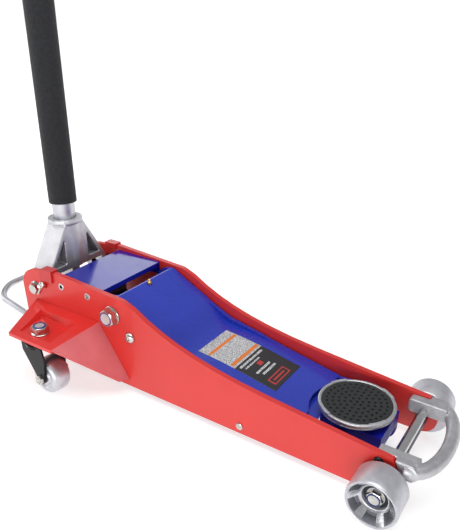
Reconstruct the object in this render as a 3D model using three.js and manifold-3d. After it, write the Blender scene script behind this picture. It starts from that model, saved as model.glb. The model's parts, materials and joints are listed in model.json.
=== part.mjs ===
// Hydraulic floor jack: two side plates, a lift arm with a levelled saddle, a hydraulic
// power unit, a folding pump handle in a cast yoke, two front wheels and two casters.
// Millimetres. Inside this file X = 0 is the front wheel axle, +X points to the front,
// +Y to the left and Z = 0 is the floor. The finished group is moved so that its origin
// is the bottom centre of its box.
import * as THREE from 'three';
import { mergeVertices } from 'three/addons/utils/BufferGeometryUtils.js';
import Module from 'manifold-3d';

const wasm = await Module();
wasm.setup();

// ---- driving dimensions -------------------------------------------------------------

// Fits
const gap = 0.3;                  // between pieces that touch or turn on each other
const slack = 1.5;                // where a moving piece passes a fixed one

// Front wheels
const wheelRadius = 36;
const wheelWidth = 47.2;
const wheelGap = 5.85;            // from a side plate to its wheel
const axleRadius = 7.5;
const axleBarRadius = 9;

// Side plates
const chassisWidth = 169.5;       // over the outer faces
const plateThickness = 8.7;
const groundClearance = 11;
const lobeRadius = 34.4;          // round rear top corner, about the yoke pivot
const shoulder = { x: -455, z: 169.5 };      // where the top edge turns down
const rearTop = { x: -612, z: 178.5 };       // highest point of the top edge
const slopeStart = { x: -432, z: 160.5 };
const slopeEnd = { x: -186, z: 92 };
const frontTop = { x: 6, z: wheelRadius + 38.5 };       // its height is set from the axle
const rearFoot = { x: -689, z: 42 };
const footRadius = 26;

// Pivots, in the X-Z plane
const yokePivot = { x: -662.7, z: 137.4 };
const armPivot = { x: -478.3, z: 136.8 };
const saddlePin = { x: -84, z: 46 };
const levelOffset = { x: 38.4, z: -29 };    // from an arm pin to the level link's pin
const lowBar = { x: -226.7, z: 23.7 };

// Handle and yoke; heights run up the handle from the yoke pivot
const handleLean = THREE.MathUtils.degToRad(1.65);
const tubeRadius = 20;
const tubeWall = 3;
const collarRadius = 31;
const collarHeight = 8;
const collarTop = 111;
const barrelRadius = 26;
const barrelBottom = 18;
const yokeDepth = 46;             // of the legs, along X
const legWall = 8;
const yokeMiddleWall = 8;         // between the recesses of its two faces
const sleeveRadius = 25;
const sleeveBottom = 140;
const sleeveTop = 600;
const lowerTubeTop = 640;
const upperTubeRadius = 16.5;
const upperTubeBottom = 560;
const upperTubeTop = 1150;
const gripRadius = 19.5;
const gripLength = 150;

// Hydraulic unit
const crankRadius = 70;
const crankLead = THREE.MathUtils.degToRad(30);   // crank pin behind vertical, arm down
const ramRadius = 14;
const crankInner = 16;
const crankWall = 8;
const crankEye = 14;
const cylinderRadius = 26;
const cylinderFront = -532;
const blockRear = -612;
const blockFront = -560;
const blockHalf = 46;
const camBase = 12;               // travel of the pump plunger per radian of the handle
const camRise = 16;
const plungerRadius = 7;
const plungerHeadRadius = 12;

// Lift arm
const armClearance = 3.05;        // from each side plate
const flangeWall = 6;
const sheetWall = 3.5;
const hubRadius = 30;
const armTubeRadius = 19;         // the cross tube round the shaft
const noseRadius = 18;
const noseFloor = { z: 54.5, behind: 26, ledge: 52.5 };    // ties the flanges below the saddle
const shaftRadius = 12.5;
const pinRadius = 8;

// Level links and saddle
const linkWall = 7;
const linkInner = 41.5;
const linkDepth = 10;
const linkEye = 9.5;
const linkBoltRadius = 6;
const saddleX = -78;
const saddleTop = 80.3;
const saddleRadius = 57.5;
const saddleRim = 5.5;
const cupHeight = 16;
const padDepth = 7;
const bracketHalf = 38;
const bracketTop = 61.5;
const bracketRear = 40;            // behind the saddle's centre
const bracketFront = 53;
const bracketLobe = 20;            // radius of its round front cheeks

// Caster wings and casters
const wingTop = 115;               // along the plate
const wingDrop = 12;               // from the plate to the wing's outer edge
const wingSheet = 4;
const wingLip = 6;                 // turned down along the outer edge
const wingReach = 96.25;           // outwards from the side plate
const wingRear = -665;
const wingRearOuter = -624;
const wingFront = -509.5;
const wingFrontOuter = -522;
const gussetTip = { x: -447, z: 23.6 };            // on the plate
const gussetCorner = { x: -453, reach: 17.85 };    // the outer end of its blunt tip
const panFloor = 102.5;
const panReach = 20.25;            // from the side plate to the pan
const panRear = -633;
const panFront = -541;
const panMargin = 11;              // from the pan to the outer edge
const panRearOuter = -616;
const panFrontOuter = -534;
const panDraft = { x: 11, y: 5 };  // how far the pan's walls lean in
const casterX = -580;
const casterReach = 66.75;         // from the side plate to the swivel axis
const casterTrail = 19;
const casterTurn = THREE.MathUtils.degToRad(3);
const casterWheelRadius = 31;
const casterWheelWidth = 35;
const forkWall = 3.5;
const crownRadius = 26;
const raceRadius = 23;

// Rear loop and front handle
const loopRadius = 6;
const loopRise = THREE.MathUtils.degToRad(12.5);
const loopRear = -817;
const frontLoopReach = 57.5;      // its centre line, ahead of the front axle
const frontLoopRadius = 10;
const frontLoopSides = 16;
const frontLoopEnd = { x: 21, inset: 4.35, z: wheelRadius + 27 };    // inset from the plate's outer face
const frontLoopSag = 5;            // its middle hangs below its ends
const handleBlockDepth = 17.05;    // inwards from the side plate
const handleBlockRear = -19;
const handleBlockFront = 37;
const handleCheek = { front: 40, bottom: wheelRadius + 12.5, chamfer: 7 };
const tieRodRadius = 6.5;
const tieRod = { x: 5, z: wheelRadius + 22 };
const rearLoopStart = { x: -672, z: 49.5 };
const rearLoopBend = 34;
const rearLoopSides = 16;

// ---- colours ------------------------------------------------------------------------

const red = { color: 0xe5443f, roughness: 0.45, metalness: 0 };
const blue = { color: 0x1f33b0, roughness: 0.3, metalness: 0 };
const castAluminium = { color: 0xb9bcbf, roughness: 0.5, metalness: 0.7 };
const zinc = { color: 0xc9c7c0, roughness: 0.3, metalness: 1 };
const chrome = { color: 0xe6e6e8, roughness: 0.12, metalness: 1 };
const blackPaint = { color: 0x121214, roughness: 0.25, metalness: 0 };
const darkSteel = { color: 0x2b2f38, roughness: 0.4, metalness: 0.8 };
const rubber = { color: 0x1a1b1c, roughness: 0.85, metalness: 0 };
const foam = { color: 0x16171a, roughness: 0.9, metalness: 0 };
const brass = { color: 0xb98a3a, roughness: 0.35, metalness: 1 };

// ---- facets of the round pieces -----------------------------------------------------

const coarse = 10;
const medium = 16;
const fine = 24;
const veryFine = 36;

// ---- solids -------------------------------------------------------------------------

function toSolid(geometry) {
  const bare = geometry.index ? geometry : mergeVertices(geometry);
  bare.deleteAttribute('normal');
  bare.deleteAttribute('uv');
  const merged = mergeVertices(bare, 1e-4);
  const index = merged.index.array;
  const triangles = [];
  for (let i = 0; i < index.length; i += 3) {
    const [a, b, c] = [index[i], index[i + 1], index[i + 2]];
    if (a !== b && b !== c && c !== a) triangles.push(a, b, c);
  }
  return new wasm.Manifold(new wasm.Mesh({
    numProp: 3,
    vertProperties: new Float32Array(merged.attributes.position.array),
    triVerts: new Uint32Array(triangles),
  }));
}

function toGeometry(solid) {
  const mesh = solid.getMesh();
  const geometry = new THREE.BufferGeometry();
  geometry.setAttribute('position', new THREE.BufferAttribute(mesh.vertProperties, 3));
  geometry.setIndex(new THREE.BufferAttribute(mesh.triVerts, 1));
  geometry.computeVertexNormals();
  return geometry;
}

const join = (...solids) => solids.reduce((whole, piece) => whole.add(piece));
const cut = (base, ...tools) => tools.reduce((left, tool) => left.subtract(tool), base);

// An outline in X-Z, extruded along Y.
function slabXZ(shape, yLow, yHigh, curveSegments = 8) {
  const depth = yHigh - yLow;
  const geometry = new THREE.ExtrudeGeometry(shape, { depth, bevelEnabled: false, curveSegments });
  return toSolid(geometry.rotateX(Math.PI / 2).translate(0, yHigh, 0));
}

// An outline in X-Y, extruded along Z.
function slabXY(shape, zLow, zHigh, curveSegments = 8) {
  const depth = zHigh - zLow;
  const geometry = new THREE.ExtrudeGeometry(shape, { depth, bevelEnabled: false, curveSegments });
  return toSolid(geometry.translate(0, 0, zLow));
}

// An outline in Y-Z, extruded along X.
function slabYZ(shape, xLow, xHigh, curveSegments = 8) {
  const depth = xHigh - xLow;
  const geometry = new THREE.ExtrudeGeometry(shape, { depth, bevelEnabled: false, curveSegments });
  return toSolid(geometry.rotateX(Math.PI / 2).rotateZ(Math.PI / 2).translate(xLow, 0, 0));
}

const shifted = (solid, x, y, z) => toSolid(toGeometry(solid).translate(x, y, z));

function mirrored(solid) {
  const geometry = toGeometry(solid).scale(1, -1, 1);
  geometry.setIndex([...geometry.index.array].reverse());
  return toSolid(geometry);
}

const outline = (points) => new THREE.Shape(points.map(([a, b]) => new THREE.Vector2(a, b)));
const disc = (x, z, radius) => new THREE.Shape().absarc(x, z, radius, 0, 2 * Math.PI);

function box(xLow, xHigh, yLow, yHigh, zLow, zHigh) {
  const geometry = new THREE.BoxGeometry(xHigh - xLow, yHigh - yLow, zHigh - zLow);
  return toSolid(geometry.translate((xLow + xHigh) / 2, (yLow + yHigh) / 2, (zLow + zHigh) / 2));
}

// Turned pieces. The profile is a list of [radius, height], up the outside.
function turned(profile, segments = medium) {
  const points = profile.map(([radius, height]) => new THREE.Vector2(radius, height));
  return new THREE.LatheGeometry(points, segments);
}

const turnedY = (profile, x, z, segments) => toSolid(turned(profile, segments).translate(x, 0, z));
const turnedZ = (profile, x, y, segments) =>
  toSolid(turned(profile, segments).rotateX(Math.PI / 2).translate(x, y, 0));
const turnedX = (profile, y, z, segments) =>
  toSolid(turned(profile, segments).rotateZ(-Math.PI / 2).translate(0, y, z));

const rod = (radius, low, high) => [[0, low], [radius, low], [radius, high], [0, high]];
const sleeve = (inner, outer, low, high) =>
  [[inner, low], [outer, low], [outer, high], [inner, high], [inner, low]];
const rodY = (radius, low, high, at, segments) => turnedY(rod(radius, low, high), at.x, at.z, segments);

// A round bar bent along a curve.
function bentBar(curve, radius, steps, sides = coarse) {
  const geometry = new THREE.ExtrudeGeometry(disc(0, 0, radius), {
    steps, extrudePath: curve, curveSegments: sides / 2, bevelEnabled: false,
  });
  return toSolid(geometry);
}

// ---- the scene graph ----------------------------------------------------------------

const jack = new THREE.Group();

function place(name, solid, look, parent = jack) {
  const mesh = new THREE.Mesh(toGeometry(solid), new THREE.MeshStandardMaterial(look));
  mesh.name = name;
  parent.add(mesh);
  return mesh;
}

// Left pieces are drawn as they stand; right pieces are their mirror images in Y.
const sides = [['left', 1], ['right', -1]];
const pair = (name, solid, look) => sides.forEach(([word, side]) =>
  place(`${name}_${word}`, side > 0 ? solid : mirrored(solid), look));

const plateOuter = chassisWidth / 2;
const plateInner = plateOuter - plateThickness;
const armHalf = plateInner - armClearance;
const handleBlockInner = plateInner - handleBlockDepth;
const wingOuter = plateOuter + wingReach;
const panInner = plateOuter + panReach;
const panOuter = wingOuter - panMargin;
const casterY = plateOuter + casterReach;
const linkPivot = { x: armPivot.x + levelOffset.x, z: armPivot.z + levelOffset.z };
const linkPin = { x: saddlePin.x + levelOffset.x, z: saddlePin.z + levelOffset.z };
const axle = { x: 0, z: wheelRadius };

// ---- side plates --------------------------------------------------------------------

const plateFront = { x: -2, radius: wheelRadius - groundClearance };   // round front corner
const clipScrew = { x: -640, z: 150.6 };
const coverScrews = [{ x: -596, z: 156.6 }, { x: -533.6, z: 155.1 }];
const handleBolt = { x: -11.6, z: wheelRadius + 28 };
const yokeBoltRadius = 7;
const smallScrewRadius = 4;
const coverScrewRadius = 3;
const coverHeadRadius = 6.5;
const armStudRadius = 10;
const armStudReach = 16.5;          // past the plate's outer face
const armNutFlats = 28;
const armNutHeight = 16;
const axleNutFlats = 20;

function sidePlateOutline() {
  const shape = new THREE.Shape();
  const lobe = yokePivot;
  const noseTop = THREE.MathUtils.degToRad(26);
  shape.moveTo(lobe.x, lobe.z + lobeRadius);
  shape.absarc(lobe.x, lobe.z, lobeRadius, Math.PI / 2, Math.PI, false);
  shape.lineTo(rearFoot.x, rearFoot.z);
  shape.quadraticCurveTo(rearFoot.x + 2, groundClearance, rearFoot.x + footRadius, groundClearance);
  shape.lineTo(plateFront.x, groundClearance);
  shape.absarc(plateFront.x, wheelRadius, plateFront.radius, -Math.PI / 2, noseTop, false);
  shape.lineTo(frontTop.x, frontTop.z);
  shape.lineTo(slopeEnd.x, slopeEnd.z);
  shape.bezierCurveTo(-300, 103, -375, 125, slopeStart.x, slopeStart.z);
  shape.lineTo(shoulder.x, shoulder.z);
  shape.lineTo(rearTop.x, rearTop.z);
  return shape;
}

function sidePlate() {
  const through = (radius, at) => rodY(radius + gap, plateInner - 1, plateOuter + 1, at, medium);
  let plate = slabXZ(sidePlateOutline(), plateInner, plateOuter, 7);
  plate = cut(plate,
    through(yokeBoltRadius, yokePivot),
    through(smallScrewRadius, clipScrew),
    through(armStudRadius, armPivot),
    through(linkBoltRadius, linkPivot),
    through(smallScrewRadius, lowBar),
    through(smallScrewRadius, handleBolt),
    through(axleRadius, axle));
  for (const at of coverScrews) {
    const head = coverHeadRadius - coverScrewRadius;
    plate = cut(plate, through(coverScrewRadius, at), turnedY([
      [0, plateOuter - head], [coverScrewRadius + gap, plateOuter - head],
      [coverHeadRadius + gap, plateOuter], [coverHeadRadius + gap, plateOuter + 1],
      [0, plateOuter + 1]], at.x, at.z, coarse));
  }
  return plate;
}
pair('side_plate', sidePlate(), red);

// ---- caster wings -------------------------------------------------------------------

const casterStudRadius = 8;
const panBottom = panFloor - wingSheet;
const wingRoot = plateOuter + gap;
const wingHeight = (y) => wingTop - wingDrop * (y - wingRoot) / (wingOuter - wingRoot);
const onWing = (x, y) => new THREE.Vector3(x, y, wingHeight(y));

// A flat sheet with the given corners on its upper face; a negative thickness goes upwards.
function panel(corners, thickness) {
  const along = corners[1].clone().sub(corners[0]).normalize();
  const up = new THREE.Vector3().crossVectors(along, corners[2].clone().sub(corners[1])).normalize();
  const across = new THREE.Vector3().crossVectors(up, along);
  const flat = corners.map((corner) => corner.clone().sub(corners[0]));
  const shape = outline(flat.map((at) => [at.dot(along), at.dot(across)]));
  const depth = Math.abs(thickness);
  const geometry = new THREE.ExtrudeGeometry(shape, { depth, bevelEnabled: false });
  geometry.translate(0, 0, Math.min(0, -thickness));
  const basis = new THREE.Matrix4().makeBasis(along, across, up).setPosition(corners[0]);
  return toSolid(geometry.applyMatrix4(basis));
}

// A four-sided block whose walls lean: both faces list their corners the same way round.
function drafted(bottom, top, zLow, zHigh) {
  const geometry = new THREE.BoxGeometry(1, 1, 1);
  const position = geometry.attributes.position;
  for (let i = 0; i < position.count; i += 1) {
    const isTop = position.getZ(i) > 0;
    const corner = (position.getY(i) < 0 ? [0, 1] : [3, 2])[position.getX(i) < 0 ? 0 : 1];
    const [x, y] = (isTop ? top : bottom)[corner];
    position.setXYZ(i, x, y, isTop ? zHigh : zLow);
  }
  return toSolid(geometry);
}

function pan(wall) {
  const top = [[panRear - wall, panInner - wall], [panFront + wall, panInner - wall],
    [panFrontOuter + wall, panOuter + wall], [panRearOuter - wall, panOuter + wall]];
  const { x, y } = panDraft;
  const bottom = [[top[0][0] + x, top[0][1] + y], [top[1][0] - x, top[1][1] + y],
    [top[2][0] - x / 2, top[2][1] - y / 2], [top[3][0] + x / 2, top[3][1] - y / 2]];
  return drafted(bottom, top, wall ? panBottom : panFloor, wingTop);
}

function casterWing() {
  const topCorners = [onWing(wingRear, plateOuter - 1), onWing(wingFront, plateOuter - 1),
    onWing(wingFrontOuter, wingOuter), onWing(wingRearOuter, wingOuter)];
  const sheet = panel(topCorners, wingSheet);
  const above = panel(topCorners, -wingSheet * 6);
  const lip = cut(
    slabXY(outline([[wingRearOuter, wingOuter - wingSheet], [wingFrontOuter, wingOuter - wingSheet],
      [wingFrontOuter, wingOuter], [wingRearOuter, wingOuter]]), wingHeight(wingOuter) - wingLip, wingTop),
    above);
  // The gusset leans from the front edge of the top down to the foot of the plate.
  const head = onWing(wingFront, plateOuter - 1);
  const outer = onWing(wingFrontOuter, wingOuter);
  const foot = new THREE.Vector3(gussetTip.x, plateOuter - 1, gussetTip.z);
  const normal = foot.clone().sub(head).cross(outer.clone().sub(head));
  const cornerY = plateOuter + gussetCorner.reach;
  const cornerZ = head.z - ((gussetCorner.x - head.x) * normal.x + (cornerY - head.y) * normal.y) / normal.z;
  const corner = new THREE.Vector3(gussetCorner.x, cornerY, cornerZ);
  const gusset = panel([foot, corner, outer, head], wingSheet);
  const boss = turnedZ(rod(raceRadius - 3, panBottom - 2, panBottom + 1), casterX, casterY, medium);
  const bore = turnedZ(rod(casterStudRadius + gap, panBottom - 4, wingTop), casterX, casterY, medium);
  const body = join(cut(join(sheet, cut(pan(wingSheet), above)), pan(0)), lip, gusset, boss);
  return cut(body, bore, box(wingRear - 1, gussetTip.x + 20, plateInner, wingRoot, 0, wingTop + 1));
}
pair('caster_wing', casterWing(), red);

// ---- bars and shafts between the plates ---------------------------------------------

function barBetween(radius, studRadius, at, reach) {
  return turnedY([[0, -reach], [studRadius, -reach], [studRadius, -plateInner + gap],
    [radius, -plateInner + gap], [radius, plateInner - gap], [studRadius, plateInner - gap],
    [studRadius, reach], [0, reach]], at.x, at.z, medium);
}

const washer = 2;
const hexHead = (acrossFlats, low, high, at) =>
  turnedY(rod(acrossFlats / Math.sqrt(3), low, high), at.x, at.z, 6);
const wheelInner = plateOuter + wheelGap;
const wheelOuter = wheelInner + wheelWidth;
const axleNutFace = wheelOuter - 11;
const axleNutHeight = 11;

place('front_axle', barBetween(axleBarRadius, axleRadius, axle, axleNutFace - 1), darkSteel);
place('arm_shaft', barBetween(shaftRadius, armStudRadius, armPivot, plateOuter + armStudReach), zinc);
place('low_tie_bar', turnedY([[0, -plateOuter - 3], [3, -plateOuter - 3], [6, -plateOuter - 1.5],
  [6, -plateOuter - gap], [smallScrewRadius, -plateOuter - gap], [smallScrewRadius, -plateInner + gap],
  [7, -plateInner + gap], [7, plateInner - gap], [smallScrewRadius, plateInner - gap],
  [smallScrewRadius, plateOuter + gap], [6, plateOuter + gap], [6, plateOuter + 1.5],
  [3, plateOuter + 3], [0, plateOuter + 3]], lowBar.x, lowBar.z, medium), darkSteel);

// A nut with its washer, bored to clear the stud it sits on.
function nut(acrossFlats, height, studRadius, from, at) {
  const body = join(
    hexHead(acrossFlats, from + washer - 0.2, from + height, at),
    turnedY(rod(acrossFlats * 0.6, from, from + washer), at.x, at.z, medium));
  return cut(body, rodY(studRadius + gap, from - 1, from + height + 1, at, medium));
}
pair('arm_shaft_nut', nut(armNutFlats, armNutHeight, armStudRadius, plateOuter + gap, armPivot), zinc);
pair('axle_nut', nut(axleNutFlats, axleNutHeight, axleRadius, axleNutFace - axleNutHeight, axle), zinc);

// A button-head screw whose shank runs inwards from the plate.
function buttonScrew(headRadius, headHeight, shankRadius, shankEnd, at) {
  const seat = plateOuter + gap;
  return turnedY([[0, shankEnd], [shankRadius, shankEnd], [shankRadius, seat], [headRadius, seat],
    [headRadius, seat + headHeight * 0.4], [headRadius * 0.75, seat + headHeight * 0.85],
    [headRadius * 0.4, seat + headHeight], [0, seat + headHeight]], at.x, at.z, coarse);
}
pair('level_link_bolt', buttonScrew(9.5, 7, linkBoltRadius, linkInner, linkPivot), zinc);
pair('handle_bolt', buttonScrew(7, 4, smallScrewRadius, handleBlockInner + 4, handleBolt), blackPaint);

// ---- rear cover, clips and their screws ---------------------------------------------

const cover = { rear: -608.3, front: -507.5, top: 169.7, wall: 2.5, flange: 24 };
const clip = { rear: -641, front: -615, stand: 2.8, wall: 3.5, drop: 22, innerDrop: 12 };

function rearCover() {
  const side = plateInner - gap;
  const skirt = outline([[-side, cover.top - cover.flange], [-side + cover.wall, cover.top - cover.flange],
    [-side + cover.wall, cover.top - cover.wall], [side - cover.wall, cover.top - cover.wall],
    [side - cover.wall, cover.top - cover.flange], [side, cover.top - cover.flange],
    [side, cover.top], [-side, cover.top]]);
  const lip = box(cover.front - cover.wall, cover.front, -side + 8, side - 8, cover.top - 9, cover.top - 1);
  let body = join(slabYZ(skirt, cover.rear, cover.front), lip);
  for (const at of coverScrews) {
    body = cut(body, rodY(coverScrewRadius + gap, -side - 1, side + 1, at, coarse));
  }
  return body;
}
place('rear_cover', rearCover(), blue);

// A small saddle clip hooked over the top edge of each plate.
function yokeClip() {
  const topAt = (x) => yokePivot.z + lobeRadius
    + (x - yokePivot.x) * (rearTop.z - yokePivot.z - lobeRadius) / (rearTop.x - yokePivot.x);
  const high = topAt(clip.front) + clip.stand;
  const outer = plateOuter + gap + clip.wall;
  const inner = plateInner - gap - clip.wall;
  const body = join(box(clip.rear, clip.front, inner, plateOuter, high - clip.innerDrop, high),
    box(clip.rear, clip.front, plateOuter - 1, outer, high - clip.drop, high));
  const seat = slabXZ(outline([[clip.rear - 1, high - clip.drop - 1], [clip.front + 1, high - clip.drop - 1],
    [clip.front + 1, topAt(clip.front + 1) + gap], [clip.rear - 1, topAt(clip.rear - 1) + gap]]),
  plateInner - gap, plateOuter + gap);
  const tab = slabXZ(disc(clipScrew.x, clipScrew.z, 8), plateOuter + gap, outer, 8);
  const web = box(clipScrew.x - 6, clipScrew.x + 6, plateOuter + gap, outer, clipScrew.z, high - 2);
  const screwBore = rodY(smallScrewRadius + gap, inner, outer + 1, clipScrew, coarse);
  return cut(join(cut(body, seat), tab, web), screwBore);
}
pair('yoke_clip', yokeClip(), red);

function clipScrewBody() {
  const seat = plateOuter + clip.wall + 2 * gap;
  return turnedY([[0, plateInner + 1], [smallScrewRadius, plateInner + 1], [smallScrewRadius, seat],
    [6.5, seat], [6.5, seat + 2], [4.5, seat + 4.5], [0, seat + 4.5]], clipScrew.x, clipScrew.z, coarse);
}
pair('clip_screw', clipScrewBody(), zinc);

coverScrews.forEach((at, i) => {
  const head = coverHeadRadius - coverScrewRadius;
  const end = plateInner - gap - cover.wall - 3;
  const screw = turnedY([[0, end], [coverScrewRadius, end], [coverScrewRadius, plateOuter - head],
    [coverHeadRadius, plateOuter], [coverHeadRadius, plateOuter + 0.2], [3, plateOuter + 0.2],
    [3, plateOuter - 1.5], [0, plateOuter - 1.5]], at.x, at.z, coarse);
  pair(`cover_screw_${i + 1}`, screw, zinc);
});

// ---- front handle and rear loop -----------------------------------------------------


function frontHandle() {
  const blockTop = frontTop.z - 1;
  const blockBottom = tieRod.z - 6;
  const corner = 5;
  // An inner block along each plate, and a cheek flush with the plate ahead of its front edge.
  const inner = new THREE.Shape();
  inner.moveTo(handleBlockRear, blockBottom + 4);
  inner.lineTo(handleBlockRear + 4, blockBottom);
  inner.lineTo(handleBlockFront, blockBottom);
  inner.lineTo(handleBlockFront, blockTop);
  inner.lineTo(handleBlockRear + corner, blockTop);
  inner.quadraticCurveTo(handleBlockRear, blockTop, handleBlockRear, blockTop - corner);
  const { front, bottom, chamfer } = handleCheek;
  const cheek = outline([[frontTop.x + 14, bottom], [front - chamfer, bottom], [front, bottom + chamfer],
    [front, blockTop - chamfer], [front - chamfer, blockTop], [frontTop.x + 2.5, blockTop]]);
  const block = join(slabXZ(inner, handleBlockInner, plateInner - gap),
    slabXZ(cheek, plateInner - gap - 1, plateOuter - 0.5));
  const loopEndY = plateOuter - frontLoopEnd.inset;
  const points = [];
  for (let i = 0; i <= 24; i += 1) {
    const angle = (i / 24 - 0.5) * Math.PI;
    points.push(new THREE.Vector3(
      frontLoopEnd.x + (frontLoopReach - frontLoopEnd.x) * Math.cos(angle) ** 0.9,
      loopEndY * Math.sin(angle),
      frontLoopEnd.z - frontLoopSag * Math.cos(angle)));
  }
  const loop = bentBar(new THREE.CatmullRomCurve3(points), frontLoopRadius, fine, frontLoopSides);
  const ring = cut(loop,
    box(handleBlockRear - 20, frontLoopEnd.x, -chassisWidth, chassisWidth, 0, wingTop),
    box(handleBlockRear - 20, handleBlockFront + 0.5, -handleBlockInner, handleBlockInner, 0, wingTop));
  const keepOut = slabXZ(sidePlateOutline(), plateInner - gap, plateOuter + 40, 7);
  const clear = join(keepOut, shifted(keepOut, gap, 0, 0), shifted(keepOut, 0, 0, gap));
  const boltBore = rodY(smallScrewRadius + gap, handleBlockInner + 2, plateOuter, handleBolt, coarse);
  return cut(join(block, mirrored(block), ring), clear, mirrored(clear), boltBore, mirrored(boltBore));
}
place('front_handle', frontHandle(), castAluminium);
place('front_tie_rod', turnedY(rod(tieRodRadius, -handleBlockInner + gap, handleBlockInner - gap),
  tieRod.x, tieRod.z, medium), chrome);

function rearLoop() {
  const side = plateInner - gap - loopRadius;
  const start = rearLoopStart;
  const bend = rearLoopBend;
  const rise = Math.tan(loopRise);
  const at = (x, y) => new THREE.Vector3(x, y, start.z + (start.x - x) * rise);
  const corner = loopRear + 10;
  const shoulderX = corner - 4;      // the back of the loop bows rearwards from here
  const path = new THREE.CurvePath();
  path.add(new THREE.LineCurve3(at(start.x, -side), at(corner + bend, -side)));
  path.add(new THREE.QuadraticBezierCurve3(
    at(corner + bend, -side), at(corner, -side), at(shoulderX, -side + bend)));
  path.add(new THREE.QuadraticBezierCurve3(
    at(shoulderX, -side + bend), at(loopRear - 6, 0), at(shoulderX, side - bend)));
  path.add(new THREE.QuadraticBezierCurve3(
    at(shoulderX, side - bend), at(corner, side), at(corner + bend, side)));
  path.add(new THREE.LineCurve3(at(corner + bend, side), at(start.x, side)));
  return bentBar(path, loopRadius, 30, rearLoopSides);
}
place('rear_loop', rearLoop(), zinc);

// ---- hydraulic unit -----------------------------------------------------------------

const ramZ = armPivot.z - crankRadius * (1 + Math.cos(crankLead)) / 2;
const crankPin = { x: armPivot.x - crankRadius * Math.sin(crankLead),
  z: armPivot.z - crankRadius * Math.cos(crankLead) };
const ramTravel = 2 * crankRadius * Math.sin(crankLead);
const plungerZ = yokePivot.z - camBase;
const plungerFace = yokePivot.x + camRise + camBase * handleLean + gap;
const plungerHead = 5;
const spindle = { y: 30, z: 118, radius: 5 };
const plungerTravel = 17;

function powerUnit() {
  const lower = box(blockRear, blockFront, -blockHalf, blockHalf, groundClearance + 8, 108);
  const upper = box(blockRear, blockFront - 6, -blockHalf, blockHalf, 107, 146);
  const barrel = turnedX(rod(cylinderRadius, blockFront - 1, cylinderFront), 0, ramZ, medium);
  const boreEnd = crankPin.x - 12 - ramTravel - slack;
  const bore = turnedX(rod(ramRadius + gap, boreEnd - 1, cylinderFront + 1), 0, ramZ, medium);
  const pumpBore = turnedX(rod(plungerRadius + gap, blockRear - 1, blockRear + 45), 0, plungerZ, medium);
  const springSeat = turnedX(rod(plungerHeadRadius + 1, blockRear - 1, blockRear + 14), 0, plungerZ, medium);
  const valveBore = rod(spindle.radius + gap, blockRear - 1, blockRear + 21);
  const valve = turnedX(valveBore, spindle.y, spindle.z, coarse);
  const foot = box(blockRear + 8, blockFront - 8, blockHalf - 1, plateInner - gap, 24, 40);
  return cut(join(lower, upper, barrel, foot, mirrored(foot)), bore, pumpBore, springSeat, valve);
}
place('power_unit', powerUnit(), darkSteel);

// The ram's crosshead is slotted upright, because the crank pin dips as it swings.
function ram() {
  const sag = crankRadius * (1 - Math.cos(crankLead)) / 2;
  const half = crankInner - slack;
  const body = turnedX(rod(ramRadius, crankPin.x - 10 - ramTravel, crankPin.x - 10), 0, ramZ, medium);
  const head = box(crankPin.x - 16, crankPin.x + pinRadius + slack + 5, -half, half,
    ramZ - sag - pinRadius - slack - 5, ramZ + sag + pinRadius + slack + 5);
  const slot = box(crankPin.x - pinRadius - slack, crankPin.x + pinRadius + slack, -half - 1, half + 1,
    ramZ - sag - pinRadius - slack, ramZ + sag + pinRadius + slack);
  return cut(join(body, head), slot);
}
place('ram', ram(), chrome);

place('pump_plunger', turnedX([[0, plungerFace], [plungerHeadRadius, plungerFace],
  [plungerHeadRadius, plungerFace + plungerHead], [plungerRadius, plungerFace + plungerHead],
  [plungerRadius, blockRear + 45 - plungerTravel - slack], [0, blockRear + 45 - plungerTravel - slack]],
0, plungerZ, medium), chrome);

function releaseSpindle() {
  const shaft = turnedX(rod(spindle.radius, blockRear - 16, blockRear + 20), spindle.y, spindle.z, coarse);
  const tee = turnedZ(rod(3, spindle.z - 11, spindle.z + 11), blockRear - 11, spindle.y, 12);
  return join(shaft, tee);
}
place('release_spindle', releaseSpindle(), zinc);

// ---- handle yoke and handle ---------------------------------------------------------

// Everything in this group is drawn about the yoke pivot, with Z up the handle.
const handleFrame = new THREE.Group();
handleFrame.position.set(yokePivot.x, 0, yokePivot.z);
handleFrame.rotation.y = -handleLean;
jack.add(handleFrame);

const eyeRadius = yokeDepth / 2;
const legTop = { y: 22, z: collarTop - collarHeight - 1 };
const legKnee = { y: 66, z: 28 };
const yokeSide = plateInner - slack;
const webThickness = 12;

// The cam pushes the plunger's flat face evenly: its reach grows by camBase per radian.
function camOutline() {
  const sweep = THREE.MathUtils.degToRad(80);
  const shape = new THREE.Shape();
  for (let i = 0; i <= 12; i += 1) {
    const turn = sweep * i / 12;
    const reach = camRise + camBase * turn;
    const x = reach * Math.cos(turn) - camBase * Math.sin(turn);
    const z = -reach * Math.sin(turn) - camBase * Math.cos(turn);
    if (i === 0) shape.moveTo(x, z); else shape.lineTo(x, z);
  }
  shape.lineTo(-camRise, -camBase);
  shape.lineTo(-camRise, barrelBottom);
  shape.lineTo(camRise - 1, barrelBottom);
  return shape;
}

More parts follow.
